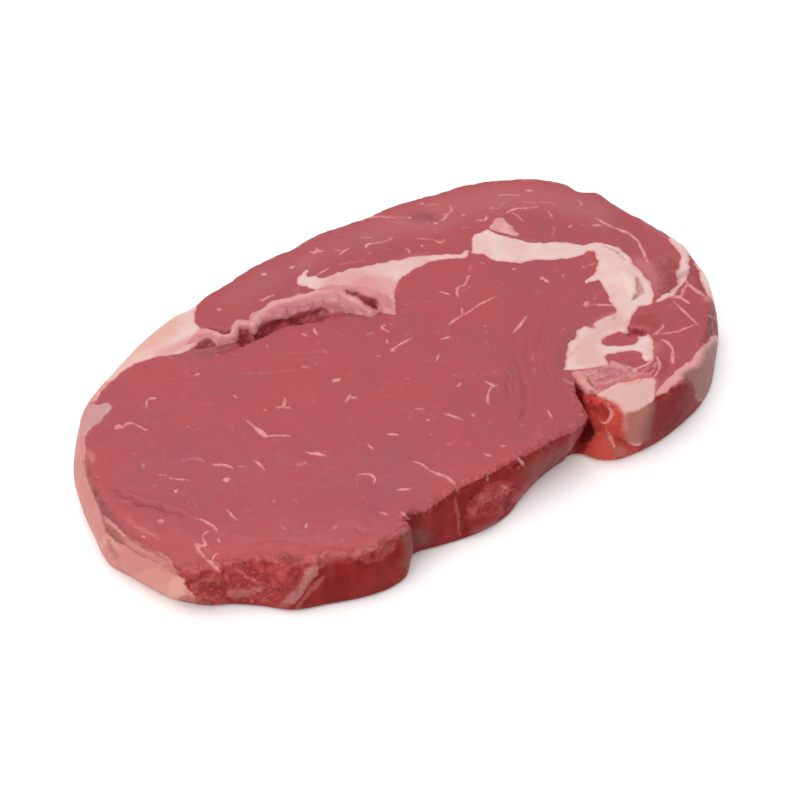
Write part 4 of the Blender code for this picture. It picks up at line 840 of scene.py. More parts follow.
# Hollows and lumps of the surface under the same marks: height, softness, outline.
LUMPS = (
    *((-1.3, 1.2, outline) for outline in CRACKS[:3]),
    (-1.3, 0.8, CRACKS[3]),
    (-1.3, 0.9, ((-50, 37.6), (-47, 38), (-44.2, 38.2), (-43.8, 36), (-43.9, 33.9), (-46, 34.2),
        (-48, 35.4))),
    (-1.0, 0.9, ((-20, 28.8), (-15, 28.8), (-11, 27.8), (-8, 27.4), (-7.6, 25), (-11, 23), (-15, 25),
        (-20, 27.4))),
    (-0.5, 1.2, ((-104, -40.6), (-98, -39.2), (-96, -40), (-97, -42), (-103.6, -41.8))),
    (-0.5, 1.2, ((-101.4, -43.6), (-97, -45), (-96.2, -49), (-98, -51), (-101, -49), (-102, -46))),
    (0.7, 1.0, ((-104, -42), (-99.6, -42.4), (-96, -45.6), (-95, -48.4), (-94, -46), (-97, -42.8),
        (-101, -41.2))),
    (0.6, 0.8, ((-91.6, -44), (-90, -44), (-88.6, -49), (-87.6, -53.6), (-89, -53), (-90.6, -49))),
    (-0.8, 0.8, ((-88.6, -46), (-86.4, -48), (-84.6, -54), (-87.4, -53.6))),
    (-0.7, 0.8, ((-80, -50.4), (-77.6, -48.6), (-75.6, -51), (-77.4, -52.6))),
    (0.5, 0.8, ((-82.6, -54), (-79.6, -52.8), (-76, -53.6), (-78, -55.4), (-82, -55.8))),
    (0.5, 0.6, ((-89, -62.6), (-80, -59.4), (-75, -55.9), (-71, -57.8), (-77, -60.6), (-84.6, -64))),
    (-0.8, 0.7, ((-53.4, -61.2), (-50.6, -61), (-50, -63), (-52.6, -63.4))),
    (0.6, 0.9, ((-57, -61.2), (-54.4, -61.4), (-51, -65), (-54, -65.6))),
    (0.7, 1.5, ((-28, -70), (-23, -66.8), (-18, -64.4), (-16.6, -68), (-18, -73), (-24, -75.6), (-29, -74))),
    (0.5, 0.8, ((-15, -68.4), (-12.4, -65), (-10, -68.4), (-12, -69.2))),
    (-0.6, 0.6, ((-25.6, -60.4), (-24.2, -60.4), (-31.4, -74), (-33.4, -74))),
    (0.45, 1.0, ((84, -37), (88, -35), (92, -31), (97, -27), (101, -20), (103, -20), (99, -28), (94, -34),
        (88, -37))),
    (0.5, 0.8, ((29.8, -54), (33, -53), (34.4, -56), (33, -58.6), (30, -57))),
    (0.7, 0.8, ((34.4, -60.4), (34.8, -62.6), (32.6, -65.2), (29, -66.6), (27.8, -64.6), (30.4, -64.8),
        (33, -62.4))),
    (-0.5, 0.8, ((29, -57.8), (31.6, -59), (32, -62), (30.2, -63.8), (28.2, -61))),
    (0.6, 0.7, ((27.4, -68), (26.6, -71.6), (24.8, -75), (23.4, -74.8), (25.4, -71), (26.2, -68))),
    (-0.6, 0.6, ((27.2, -70.6), (28.4, -73), (28, -78.6), (26.8, -78.6))),
    (0.6, 0.8, ((34.4, -44.4), (36.8, -46), (36, -50.6), (33.6, -53.6), (32.6, -52), (33.8, -47.6))),
    (-0.5, 0.6, ((36, -48.4), (37, -49.4), (36.8, -51.6), (35.9, -51.2))),
    (0.4, 0.6, ((47.4, -47.8), (48.8, -47.6), (49.8, -52), (48.8, -54.2), (47.8, -51))),
    (-0.45, 0.6, ((58.4, 25.6), (59.4, 25.4), (60, 21.6), (63.6, 15), (67, 9.8), (66, 9.4), (62.6, 14.6),
        (58.8, 21.2))),
    (0.5, 1.0, ((60.4, 24.6), (64.6, 26), (65, 21), (64, 18), (61.8, 20.6))),
    (0.5, 1.6, ((74.6, -18.4), (79, -18.6), (80.4, -21.6), (77.6, -24.6), (74, -23))),
    (-0.5, 0.5, ((72, -31), (76, -29.6), (81, -23.6), (80.4, -23), (75.4, -28.6), (72, -30))),
    (-0.4, 0.4, ((82, -5), (83.6, -7.6), (84.2, -10), (84, -14.6), (83.2, -14.6), (83.4, -10),
        (81.8, -5.4))),
    (-0.4, 1.2, ((51, -39.8), (55, -38), (60, -40.4), (61.6, -43.6), (59, -45.4), (54, -43))),
    (-0.4, 1.2, ((48, -45), (52, -46), (57, -49), (57, -53.6), (53, -54), (50, -50))),
    (-0.5, 1.6, ((34, -41), (39, -38), (44, -34), (50, -31.6), (46, -30), (40, -33.4), (33.6, -38.6))),
)

# Drawn-in lines on the lean face: half width, depth, then points.
WRINKLES = (
    (0.35, 0.5, (19.6, -31), (16.6, -34.6), (14, -38), (11, -41)),
    (0.9, 0.5, (26, -28.6), (22, -33.6), (20, -38.5), (16, -44), (9, -50)),
    (0.4, 0.35, (22.6, -30), (18, -36), (14.6, -39.6)), (0.5, 0.3, (45, -20), (38, -25.5), (32, -30)),
    (0.5, 0.3, (36, -22), (30, -27.4), (26, -33)), (0.4, 0.25, (31, -27), (25, -36), (18.6, -46)),
    (0.35, 0.25, (-34, -23), (-37, -29)), (0.5, 0.3, (9.6, 10), (12, 6), (14, 3)),
    (0.4, 0.3, (12, 12), (13.6, 8), (14.4, 5)), (0.5, 0.25, (10, 12), (18, 9), (24, 4)),
    (0.5, 0.6, (-100.7, 6.5), (-97.6, -3.4), (-93.3, -9.9), (-88.9, -17.6)),
    (0.5, 0.4, (-99.8, -2.8), (-95, -6), (-92, -11)), (0.5, 0.25, (-103, 2), (-100, -2), (-95, -4.6)),
    (0.45, 0.3, (-46, 18), (-38, 13), (-30, 8)), (0.4, 0.25, (-30, 17), (-24, 12), (-18, 8)),
    (0.4, 0.2, (-66, 30), (-58, 29), (-50, 27)), (0.4, 0.25, (56, -12), (50, -17), (43, -21)),
    (0.4, 0.2, (-80, -36), (-72, -42), (-66, -50)), (0.4, 0.2, (40, -30), (33, -34), (28, -40)),
    (0.6, 0.3, (-66, -50), (-62, -52.6), (-59, -53)), (0.6, 0.3, (-55, -51), (-53, -54), (-50, -55)),
    (0.4, 0.25, (60, 33), (70, 30), (80, 24), (88, 16)), (0.4, 0.2, (0, -12), (8, -17), (18, -21)),
    (0.4, 0.2, (-20, -16), (-10, -20), (-2, -27)), (0.4, 0.2, (30, -6), (40, -9), (50, -8)),
    (0.5, 0.25, (-102.6, 13), (-101.4, 11.6), (-100.6, 11)), (0.4, 0.25, (86, 24), (90, 16), (92, 8)),
    (0.5, 0.3, (97, 12), (96, 4), (97, -4)), (0.3, 0.4, (26, -59.4), (24.4, -58.4), (22, -59.6)),
    (0.3, 0.4, (27.6, -57.8), (25.6, -57.4), (23.6, -58)),
)

# ---- Curves and noise ----


def smoothstep(low, high, value):
    share = np.clip((value - low) / (high - low), 0.0, 1.0)
    return share * share * (3.0 - 2.0 * share)


def closed_spline(rows, steps=DENSE_STEPS):
    """Rows along a centripetal Catmull-Rom curve through the given rows, which close on themselves."""
    rows = np.asarray(rows, dtype=float)
    after = np.roll(rows, -1, axis=0)
    knot = np.sqrt(np.linalg.norm((after - rows)[:, :2], axis=1))[:, None]
    slope = (after - rows) / knot
    knot_before = np.roll(knot, 1, axis=0)
    slope_before = np.roll(slope, 1, axis=0)
    tangent = (slope * knot_before + slope_before * knot) / (knot + knot_before)
    tangent_after = np.roll(tangent, -1, axis=0)
    t = np.linspace(0.0, 1.0, steps, endpoint=False)[None, :, None]
    start = (2 * t**3 - 3 * t**2 + 1) * rows[:, None]
    end = (3 * t**2 - 2 * t**3) * after[:, None]
    leave = (t**3 - 2 * t**2 + t) * (knot * tangent)[:, None]
    arrive = (t**3 - t**2) * (knot * tangent_after)[:, None]
    return (start + end + leave + arrive).reshape(-1, rows.shape[1])


def evenly_spaced(rows, step):
    """The closed curve again, with points about a step apart, or closer where its last column is over 1."""
    loop = np.vstack([rows, rows[:1]])
    runs = np.linalg.norm(np.diff(loop[:, :2], axis=0), axis=1) * loop[:-1, -1]
    length = np.concatenate([[0.0], np.cumsum(runs)])
    count = round(length[-1] / step)
    at = np.arange(count) * length[-1] / count
    return np.column_stack([np.interp(at, length, column) for column in loop.T])


def outward(points):
    """Unit normals of a counter-clockwise closed curve."""
    along = np.roll(points, -1, axis=0) - np.roll(points, 1, axis=0)
    normal = np.column_stack([along[:, 1], -along[:, 0]])
    return normal / np.linalg.norm(normal, axis=1, keepdims=True)


def beside_line(x, y, line):
    """Distance to a line, positive on its left, then the run along it from its start, and its length."""
    line = np.array(line, dtype=float)
    place = np.stack([x, y], axis=-1)
    nearest = np.full(x.shape, np.inf)
    side = np.zeros(x.shape)
    run = np.zeros(x.shape)
    passed = 0.0
    for start, end in zip(line[:-1], line[1:]):
        along = end - start
        length = np.linalg.norm(along)
        along = along / length
        offset = place - start
        reach = np.clip(offset @ along, 0.0, length)
        gap = np.linalg.norm(offset - reach[..., None] * along, axis=-1)
        left = offset[..., 1] * along[0] - offset[..., 0] * along[1]
        closer = gap < nearest
        nearest = np.where(closer, gap, nearest)
        side = np.where(closer, np.where(left < 0.0, -gap, gap), side)
        run = np.where(closer, passed + reach, run)
        passed += length
    return side, run, passed


def inside(points, loop):
    """Whether each point lies inside a closed loop."""
    found = np.zeros(len(points), dtype=bool)
    ax, ay = loop.T
    bx, by = np.roll(loop, -1, axis=0).T
    slope = (bx - ax) / np.where(by == ay, np.inf, by - ay)
    for part in range(0, len(points), CHUNK):
        x, y = points[part:part + CHUNK, :1], points[part:part + CHUNK, 1:]
        crosses = ((ay > y) != (by > y)) & (x < slope * (y - ay) + ax)
        found[part:part + CHUNK] = crosses.sum(axis=1) % 2 == 1
    return found


def within(points, marks, margin):
    """Indices of the points in the box of some marks, with a margin."""
    low = np.min(marks, axis=0) - margin
    high = np.max(marks, axis=0) + margin
    return np.nonzero(((points > low) & (points < high)).all(axis=1))[0]


def rounded(line):
    """An open line with its corners cut."""
    line = np.array(line, dtype=float)
    for _ in range(2):
        near = 0.75 * line[:-1] + 0.25 * line[1:]
        far = 0.25 * line[:-1] + 0.75 * line[1:]
        cut = np.stack([near, far], axis=1).reshape(-1, 2)
        line = np.vstack([line[:1], cut[1:-1], line[-1:]])
    return line


def area_field(points, outline, smooth=6):
    """Distance inside a closed outline, negative outside, no further than the field's reach."""
    loop = closed_spline(outline, smooth)
    field = np.full(len(points), -FIELD_REACH)
    near = within(points, loop, FIELD_REACH)
    if len(near):
        some = points[near]
        side, _, _ = beside_line(some[:, 0], some[:, 1], np.vstack([loop, loop[:1]]))
        gap = np.abs(side)
        field[near] = np.clip(np.where(inside(some, loop), gap, -gap), -FIELD_REACH, FIELD_REACH)
    return field


def areas_field(points, outlines):
    return np.max([area_field(points, outline) for outline in outlines], axis=0)


def streak_field(points, streaks):
    """Half width less distance for the nearest streak: positive on it."""
    field = np.full(len(points), -FIELD_REACH)
    for width, *line in streaks:
        near = within(points, line, FIELD_REACH)
        if len(near):
            side, run, length = beside_line(points[near, 0], points[near, 1], rounded(line))
            taper = 0.55 + 0.5 * np.sin(np.pi * run / length)
            field[near] = np.maximum(field[near], width * taper - np.abs(side))
    return field


HASH_PRIMES = (73856093, 19349663, 83492791)
HASH_FACTOR = 2654435761


def lattice_noise(points, cell, seed):
    """Smooth noise between -1 and 1 with cells of the given size, in two or three dimensions."""
    scaled = np.asarray(points) / cell + 1000.0
    base = np.floor(scaled).astype(np.int64)
    share = scaled - base
    share = share * share * (3.0 - 2.0 * share)
    total = np.zeros(len(scaled))
    dims = scaled.shape[1]
    for corner in np.ndindex(*(2,) * dims):
        index = base + corner
        mixed = np.full(len(scaled), seed * 7919 + 17, dtype=np.int64)
        for axis in range(dims):
            mixed = (mixed ^ (index[:, axis] * HASH_PRIMES[axis])) * HASH_FACTOR % 2**32
            mixed ^= mixed >> 15
        value = (mixed % 65521) / 32760.0 - 1.0
        weight = np.prod(np.where(corner, share, 1.0 - share), axis=1)
        total += value * weight
    return total


def fractal_noise(points, cell, octaves, seed, gain=0.5):
    """Octaves of noise, each at half the size, turned so that their grids don't line up."""
    points = np.asarray(points, dtype=float)
    total = np.zeros(len(points))
    scale = 1.0
    norm = 0.0
    for octave in range(octaves):
        angle = 0.7 + 1.1 * octave
        turned = points.copy()
        turned[:, 0] = math.cos(angle) * points[:, 0] - math.sin(angle) * points[:, 1]
        turned[:, 1] = math.sin(angle) * points[:, 0] + math.cos(angle) * points[:, 1]
        total += scale * lattice_noise(turned, cell * 0.5**octave, seed + 31 * octave)
        norm += scale
        scale *= gain
    return total / norm


# ---- Height of the upper face ----

def plain_height(x, y):
    """Height of the slice without its folds and grooves."""
    toward_corner = CORNER_DIRECTION[0] * x + CORNER_DIRECTION[1] * y
    drop = CORNER_DROP * smoothstep(CORNER_DROP_FROM, CORNER_DROP_TO, toward_corner)
    swell = sum(
        high * np.sin(x / wave_x * 2 * np.pi + phase_x) * np.sin(y / wave_y * 2 * np.pi + phase_y)
        for wave_x, wave_y, phase_x, phase_y, high in SWELLS
    )
    return THICKNESS - drop + swell


def seam_relief(x, y, sheet):
    """The torn groove along the eye, and the pleated lip of membrane that stands up behind it."""
    side, run, length = beside_line(x, y, SEAM)
    fold = smoothstep(0.0, SEAM_FADE, np.minimum(run, length - run))
    groove = GROOVE_SHARE * SEAM_DEPTH * np.exp(-((side / SEAM_HALF_WIDTH) ** 2))
    rise = smoothstep(0.0, LIP_CREST, side)
    fall = 1.0 - smoothstep(LIP_CREST, LIP_WIDTH, side)
    on_ridge = smoothstep(-0.9, 1.6, area_field(sheet, RIDGE))
    across = np.column_stack([run + PLEAT_LEAN * side, side / PLEAT_STRETCH])
    pleats = sum(high * lattice_noise(across, size, seed) for high, size, seed in PLEATS)
    lip = LIP_HEIGHT * rise * fall * (0.3 + 0.7 * on_ridge)
    pleats = pleats * on_ridge * (1.0 - smoothstep(6.0, LIP_WIDTH, side)) * smoothstep(-2.0, 1.0, side)
    return (lip - groove) * fold + pleats


def groove_relief(x, y, line, depth):
    side, _, _ = beside_line(x, y, line)
    return -depth * np.exp(-((side / GROOVE_HALF_WIDTH) ** 2))


def wrinkle_relief(points):
    """Fine drawn-in lines on the lean face, as a depth in millimetres."""
    depth = np.zeros(len(points))
    for width, deep, *line in WRINKLES:
        near = within(points, line, 4.0)
        if len(near):
            x, y = points[near].T
            side, run, length = beside_line(x + 0.4 * np.sin(y), y, line)
            fade = smoothstep(0.0, 2.5, np.minimum(run, length - run) + 0.6)
            hollow = np.exp(-((side / width) ** 2))
            bank = np.exp(-(((side - 2.2 * width) / (1.6 * width)) ** 2))
            depth[near] += deep * fade * (hollow - 0.35 * bank)
    return depth


def lump_relief(sheet):
    """Height of the hollows and lumps of torn meat and membrane."""
    height = np.zeros(len(sheet))
    for high, softness, outline in LUMPS:
        height += high * smoothstep(-softness, softness, area_field(sheet, outline, 4))
    return height


def face_height(points, rim_gap):
    """Height of the upper face, which is crowned inside its rim, with its large relief."""
    x, y = points.T
    plain = plain_height(x, y)
    crown = CROWN * smoothstep(0.0, CROWN_REACH, rim_gap)
    sheet = on_sheet(np.column_stack([x, y, plain + crown]))
    grooves = groove_relief(x, y, SLIT, SLIT_DEPTH) + groove_relief(x, y, PIT, PIT_DEPTH)
    relief = seam_relief(x, y, sheet) + grooves
    return plain + crown + relief * smoothstep(0.0, RIM_RADIUS, rim_gap)


# ---- The mesh ----


def wall_rings(rows):
    """Rings of points from the flat base up to the inner edge of the rim, and the outward directions."""
    rim_out = outward(rows[:, :2])
    foot_out = outward(rows[:, 2:4])
    bulge = rows[:, 4:5]
    outset = EDGE_OUTSET * np.minimum(bulge, 1.0)
    rim = rows[:, :2] + outset * rim_out
    foot = rows[:, 2:4] + outset * foot_out
    top = plain_height(rim[:, 0], rim[:, 1])[:, None]
    rings = []
    for height, inset in reversed(EDGE_STEPS):
        lift = np.full_like(top, height * FOOT_RADIUS)
        rings.append(np.hstack([foot - inset * FOOT_RADIUS * foot_out, lift]))
    for level in np.arange(1, WALL_ROWS) / WALL_ROWS:
        out = rim_out * level + foot_out * (1.0 - level)
        swell = 4.0 * level * (1.0 - level) * bulge
        place = rim * level + foot * (1.0 - level) + swell * out
        rings.append(np.hstack([place, FOOT_RADIUS + level * (top - RIM_RADIUS - FOOT_RADIUS)]))
    for height, inset in EDGE_STEPS:
        rings.append(np.hstack([rim - inset * RIM_RADIUS * rim_out, top - height * RIM_RADIUS]))
    return rings, rim_out


def clear_of(points, others, gap):
    """The points that keep a gap to every one of the others."""
    keep = np.ones(len(points), dtype=bool)
    for part in range(0, len(points), CHUNK):
        some = points[part:part + CHUNK]
        square = (some[:, :1] - others[:, 0]) ** 2 + (some[:, 1:] - others[:, 1]) ** 2
        keep[part:part + CHUNK] = square.min(axis=1) > gap * gap
    return points[keep]


def face_points(loop):
    """Points inside the rim on a triangular grid, at twice the fine step but for along the marks."""
    low = loop.min(axis=0)
    high = loop.max(axis=0)
    rows = int((high[1] - low[1]) / (FINE_STEP * ROW_SHARE))
    columns = int((high[0] - low[0]) / FINE_STEP) + rows
    i, j = np.meshgrid(np.arange(columns), np.arange(rows))
    x = low[0] + FINE_STEP * (i - j / 2)
    y = low[1] + FINE_STEP * ROW_SHARE * j
    points = np.column_stack([x.ravel(), y.ravel()])
    coarse = ((i % 2 == 0) & (j % 2 == 0)).ravel()
    near_box = (points[:, 0] > low[0]) & (points[:, 0] < high[0])
    points, coarse = points[near_box], coarse[near_box]
    height = plain_height(points[:, 0], points[:, 1])
    keep = coarse | wants_detail(points, on_sheet(np.column_stack([points, height])))
    points = points[keep]
    points = points[inside(points, loop)]
    jitter = np.random.default_rng(JITTER_SEED).uniform(-JITTER, JITTER, points.shape) * FINE_STEP
    return clear_of(points + jitter, loop, 0.5 * FINE_STEP)


def roughened(sheet, amount=SHIFT):
    """The sheet shifted a little to and fro, so that marks read off it get torn edges."""
    shift = [fractal_noise(sheet, SHIFT_SIZE, 3, seed, 0.6) for seed in SHIFT_SEEDS]
    return sheet + amount * np.column_stack(shift)


def wants_detail(points, sheet):
    """Where the mesh is fine: at the edges of fat and on streaks, folds, wrinkles, membrane, torn meat."""
    side, run, length = beside_line(points[:, 0], points[:, 1], SEAM)
    from_end = np.minimum(run, length - run)
    wanted = (side > SEAM_DETAIL[0]) & (side < SEAM_DETAIL[1]) & (from_end > EDGE_DETAIL)
    wanted |= np.abs(fat_field(sheet)) < EDGE_DETAIL
    wanted |= streak_field(sheet, STREAKS) > -STREAK_DETAIL
    wanted |= wrinkle_relief(points) > WRINKLE_DETAIL
    wanted |= areas_field(sheet, (TORN, MEMBRANE, FLAP)) > -EDGE_DETAIL
    wanted |= np.abs(lump_relief(sheet)) > LUMP_DETAIL
    return wanted


def on_sheet(points):
    """Where the sight line from the camera through each point meets the sheet, in the plane of the face."""
    share = (EYE[2] - THICKNESS) / (EYE[2] - points[:, 2:3])
    return EYE[:2] + (points[:, :2] - EYE[:2]) * share


FAT_AREAS = (
    WEDGE, TONGUE, LEFT_RIND, RIDGE, FIRST_BAND, SECOND_BAND, FLAP, RIGHT_BAND, BLOCK, LOBE_RIM, RIM_NET,
    RIM_STRIP,
)


def fat_field(sheet):
    """Distance inside the fat, in millimetres."""
    sheet = roughened(sheet, FAT_SHIFT)
    return np.minimum(areas_field(sheet, FAT_AREAS), -area_field(sheet, ISLAND))


def cap_faces(loop, fill, index):
    """Triangles over a closed loop and the points inside it, by the given vertex numbers."""
    flat = [Vector(point) for point in np.vstack([loop, fill])]
    border = [list(range(len(loop)))]
    _, _, faces, origins, _, _ = delaunay_2d_cdt(flat, [], border, 1, CDT_CLOSENESS)
    return index[np.array([[origins[i][0] for i in face] for face in faces])]


def base_points(loop):
    """Points of the flat underside, on a wide triangular grid."""
    low = loop.min(axis=0)
    high = loop.max(axis=0)
    rows = np.arange(low[1], high[1], BASE_STEP * ROW_SHARE)
    columns = np.arange(low[0], high[0], BASE_STEP)
    grid = np.array([(x + (i % 2) * BASE_STEP / 2, y) for i, y in enumerate(rows) for x in columns])
    return clear_of(grid[inside(grid, loop)], loop, 0.7 * BASE_STEP)


def steak_surface():
    """The surface: points, triangles, place on the sheet, wall share, rim gap, middle of its box."""
    rows = evenly_spaced(closed_spline(stations()), RING_STEP)
    rings, rim_out = wall_rings(rows)
    count = len(rows)
    rim = rings[-1][:, :2]
    fill = face_points(rim)
    coarse_rim = np.vstack([rim[::RIM_STRIDE], rim[:1]])
    fill_gap = np.abs(beside_line(fill[:, 0], fill[:, 1], coarse_rim)[0])
    face = np.column_stack([fill, face_height(fill, fill_gap)])
    base = base_points(rings[0][:, :2])
    base = np.column_stack([base, np.zeros(len(base))])

    points = np.vstack([*rings, face, base])
    face_start = len(rings) * count
    base_start = face_start + len(face)
    bands = []
    for ring in range(len(rings) - 1):
        lower = ring * count + np.arange(count)
        bands.append(np.column_stack([lower, np.roll(lower, -1), np.roll(lower, -1) + count]))
        bands.append(np.column_stack([lower, np.roll(lower, -1) + count, lower + count]))
    rim_index = face_start - count + np.arange(count)
    top = cap_faces(rim, fill, np.concatenate([rim_index, np.arange(face_start, base_start)]))
    base_index = np.concatenate([np.arange(count), np.arange(base_start, len(points))])
    bottom = cap_faces(rings[0][:, :2], base[:, :2], base_index)[:, ::-1]
    triangles = np.vstack([*bands, top, bottom])

    flat = np.zeros((len(face) + len(base), 2))
    out = np.vstack([np.tile(rim_out, (len(rings), 1)), flat])
    rim_sheet = np.tile(on_sheet(rings[-1]), (len(rings), 1))
    hidden = np.vstack([rim_sheet, on_sheet(face), base[:, :2]])
    depth = np.concatenate([THICKNESS - points[:face_start, 2], np.zeros(len(face) + len(base))])
    wander = WANDER * smoothstep(0.0, WANDER_DEPTH, depth)
    wander = wander * fractal_noise(points, WANDER_SIZE, 3, WANDER_SEED)
    hidden += wander[:, None] * np.column_stack([-out[:, 1], out[:, 0]])
    seen = smoothstep(-0.05, 0.12, out @ BACKWARD[:2])
    seen[face_start:base_start] = 1.0
    sheet = on_sheet(points) * seen[:, None] + hidden * (1.0 - seen[:, None])

    ring_of = np.arange(face_start) // count
    wall = np.zeros(len(points))
    wall[:face_start] = np.clip((len(rings) - 1 - ring_of) / (len(EDGE_STEPS) - 1), 0.0, 1.0)
    wall[base_start:] = 1.0
    rim_gap = np.zeros(len(points))
    rim_gap[face_start:base_start] = fill_gap
    rim_gap[:face_start] = points[:face_start, 2] - np.tile(rings[-1][:, 2], len(rings))
    rim_gap[base_start:] = -THICKNESS
    middle = (points[:, :2].min(axis=0) + points[:, :2].max(axis=0)) / 2
    return points, triangles, sheet, wall, rim_gap, middle


def stations():
    """One row for each station: rim x, rim y, foot x, foot y, bulge, closeness."""
    return np.array([(*station, *manner) for stretch, *manner in STRETCHES for station in stretch])


def vertex_normals(points, triangles):
    a, b, c = (points[triangles[:, corner]] for corner in range(3))
    across = np.cross(b - a, c - a)
    normals = np.zeros_like(points)
    for corner in range(3):
        np.add.at(normals, triangles[:, corner], across)
    return normals / np.maximum(np.linalg.norm(normals, axis=1, keepdims=True), 1e-12)


def crumble(points):
    """Torn meat: lumps between about half a millimetre and four across, in -1 to 1."""
    lumps = fractal_noise(points, *CRUMB_LUMPS)
    creases = 1.0 - 2.0 * np.abs(fractal_noise(points * CREASE_SQUASH, *CRUMB_CREASES)) ** 0.6
    return np.clip(0.8 * lumps - 0.45 * creases, -1.0, 1.0)


def add_relief(points, triangles, sheet, wall, rim_gap, fields):
    """The points moved along their normals by the fine relief, its painted shading, and where it is ragged.
    """
    normals = vertex_normals(points, triangles)
    torn = smoothstep(-0.8, 1.4, fields["torn"] + 1.5 * fractal_noise(sheet, *TORN_WAVES))
    front = smoothstep(-0.1, 0.5, (points[:, :2] / HALF_SIZE) @ BACKWARD[:2])
    rim_band = smoothstep(-3.2, -0.8, rim_gap) * (1.0 - smoothstep(0.3, 2.4, rim_gap)) * (0.3 + 0.7 * front)
    fat = smoothstep(-0.4, 0.6, fields["fat"])
    wet = smoothstep(-0.5, 0.8, fields["wet"])
    undercut = smoothstep(-0.8, 0.8, areas_field(sheet, UNDERCUTS))
    tissue = smoothstep(-0.5, 0.8, area_field(sheet, MEMBRANE))
    loose = smoothstep(-0.8, 1.2, areas_field(sheet, LOOSE_CRUMBS))
    crumbs = crumble(points)
    broad, grain, fine = (fractal_noise(points, *manner) for manner in (BROAD, GRAIN, FINE))
    bundles = fractal_noise(points * BUNDLE_SQUASH, *BUNDLES)

    lean_share = (1.0 - fat) * (1.0 - wall)
    relief = lean_share * (BROAD_HEIGHT * broad + GRAIN_HEIGHT * grain + FINE_HEIGHT * fine)
    relief = relief + fat * (FAT_GRAIN_HEIGHT * grain + FAT_FINE_HEIGHT * fine)
    relief += wall * (1.0 - 0.6 * fat) * (BUNDLE_HEIGHT * bundles + WALL_GRAIN_HEIGHT * grain)
    soft = np.maximum(WET_SHARE * np.maximum(wet, tissue), LOOSE_SHARE * np.maximum(undercut, loose))
    ragged = np.maximum.reduce([torn, rim_band, soft]) * (1.0 - FAT_HOLD * fat)
    rim_waves = RIM_HEIGHT * rim_band * (1.0 - fat) * fractal_noise(points, *RIM_WAVES)
    relief += CRUMB_HEIGHT * ragged * crumbs + rim_waves
    relief += lump_relief(roughened(sheet))
    relief += (1.0 - wall) * (FAT_STAND * fat + STREAK_STAND * smoothstep(-0.4, 0.3, fields["streak"]))
    depth = wrinkle_relief(points[:, :2]) * (1.0 - wall)
    steady = smoothstep(0.4, 4.0, points[:, 2])
    relief = (relief - depth) * steady
    moved = points + normals * relief[:, None]
    moved[:, 2] = np.maximum(moved[:, 2], 0.0)
    # Painted shading: crumbs and wall bundles lighter on their tops and darker between, wrinkles darker.
    shade = crumbs * ragged + (0.4 * wall * bundles - 0.6 * depth) * (1.0 - FAT_HOLD * fat)
    return moved, shade, ragged


def patch_tint(sheet):
    """Colour and strength of the soft patches and lines, laid over one another."""
    sheet = roughened(sheet, TINT_SHIFT)
    tint = np.zeros((len(sheet), 4))
    layers = [(*manner, area_field(sheet, outline, 4)) for *manner, outline in PATCHES]
    layers += [
        (color, strength, softness, streak_field(sheet, ((half_width, *line),)))
        for color, strength, half_width, softness, *line in LINES
    ]
    for color, strength, softness, field in layers:
        share = strength * smoothstep(-softness, softness, field)
        under = tint[:, 3] * (1.0 - share)
        total = under + share
        mixed = tint[:, :3] * under[:, None] + np.outer(share, color[:3])
        tint[:, :3] = mixed / np.maximum(total, 1e-6)[:, None]
        tint[:, 3] = total
    return tint


def surface_fields(sheet, wall, rim_gap):
    """Every crisp mark as a distance in millimetres, positive inside it."""
    return {
        "fat": fat_field(sheet),
        "streak": streak_field(roughened(sheet, STREAK_SHIFT), STREAKS),
        "faint": streak_field(roughened(sheet), FAINT_STREAKS),
        "membrane": areas_field(sheet, (MEMBRANE, FLAP, RIDGE)),
        "wet": area_field(sheet, WET),
        "torn": areas_field(sheet, (TORN, WALL_SHREDS)),
        "crack": areas_field(roughened(sheet, CRACK_SHIFT), CRACKS),
        "wall": wall,
        "rim_gap": rim_gap,
    }


def steak_object():
    """The steak as one mesh object in the shared frame, with its fields as attributes, and its middle."""
    points, triangles, sheet, wall, rim_gap, middle = steak_surface()
    fields = surface_fields(sheet, wall, rim_gap)
    points, fields["shade"], fields["ragged"] = add_relief(points, triangles, sheet, wall, rim_gap, fields)
    points = (points - (*middle, 0.0)) * MM

    mesh = bpy.data.meshes.new("steak_meat")
    mesh.vertices.add(len(points))
    mesh.vertices.foreach_set("co", points.astype(np.float32).ravel())
    mesh.loops.add(triangles.size)
    mesh.loops.foreach_set("vertex_index", triangles.astype(np.int32).ravel())
    mesh.polygons.add(len(triangles))
    mesh.polygons.foreach_set("loop_start", np.arange(0, triangles.size, 3, dtype=np.int32))
    mesh.update(calc_edges=True)
    mesh.validate()
    mesh.shade_smooth()
    for name, values in fields.items():
        layer = mesh.attributes.new(name, "FLOAT", "POINT")
        layer.data.foreach_set("value", values.astype(np.float32))
    tint = mesh.attributes.new("tint", "FLOAT_COLOR", "POINT")
    tint.data.foreach_set("color", patch_tint(sheet).astype(np.float32).ravel())
    steak = bpy.data.objects.new("steak_meat", mesh)
    bpy.context.scene.collection.objects.link(steak)
    return steak, middle


# ---- The material ----


LEAN = linear(164, 68, 73)
LEAN_DULL = linear(156, 69, 76)
LEAN_BRIGHT = linear(172, 62, 66)
# The walls' lean is painted darker and deeper red than the face: painted shade, in two tones.
SHADED_WALL_LEAN = linear(120, 20, 18)
SHADED_WALL_LEAN_LIGHT = linear(142, 34, 31)
TORN_RED = linear(176, 70, 70)
# Painted highlight on the tops of crumbs and of wall bundles.
CRUMB_HIGHLIGHT = linear(206, 108, 106)
FAT = linear(217, 188, 181)
FAT_PINK = linear(212, 156, 151)
MARBLING = linear(214, 140, 137)
MEMBRANE_PINK = linear(196, 120, 122)
# Painted shade in the cracks and slits.
CRACK_SHADE = linear(100, 16, 18)
VEIN = linear(196, 112, 112)

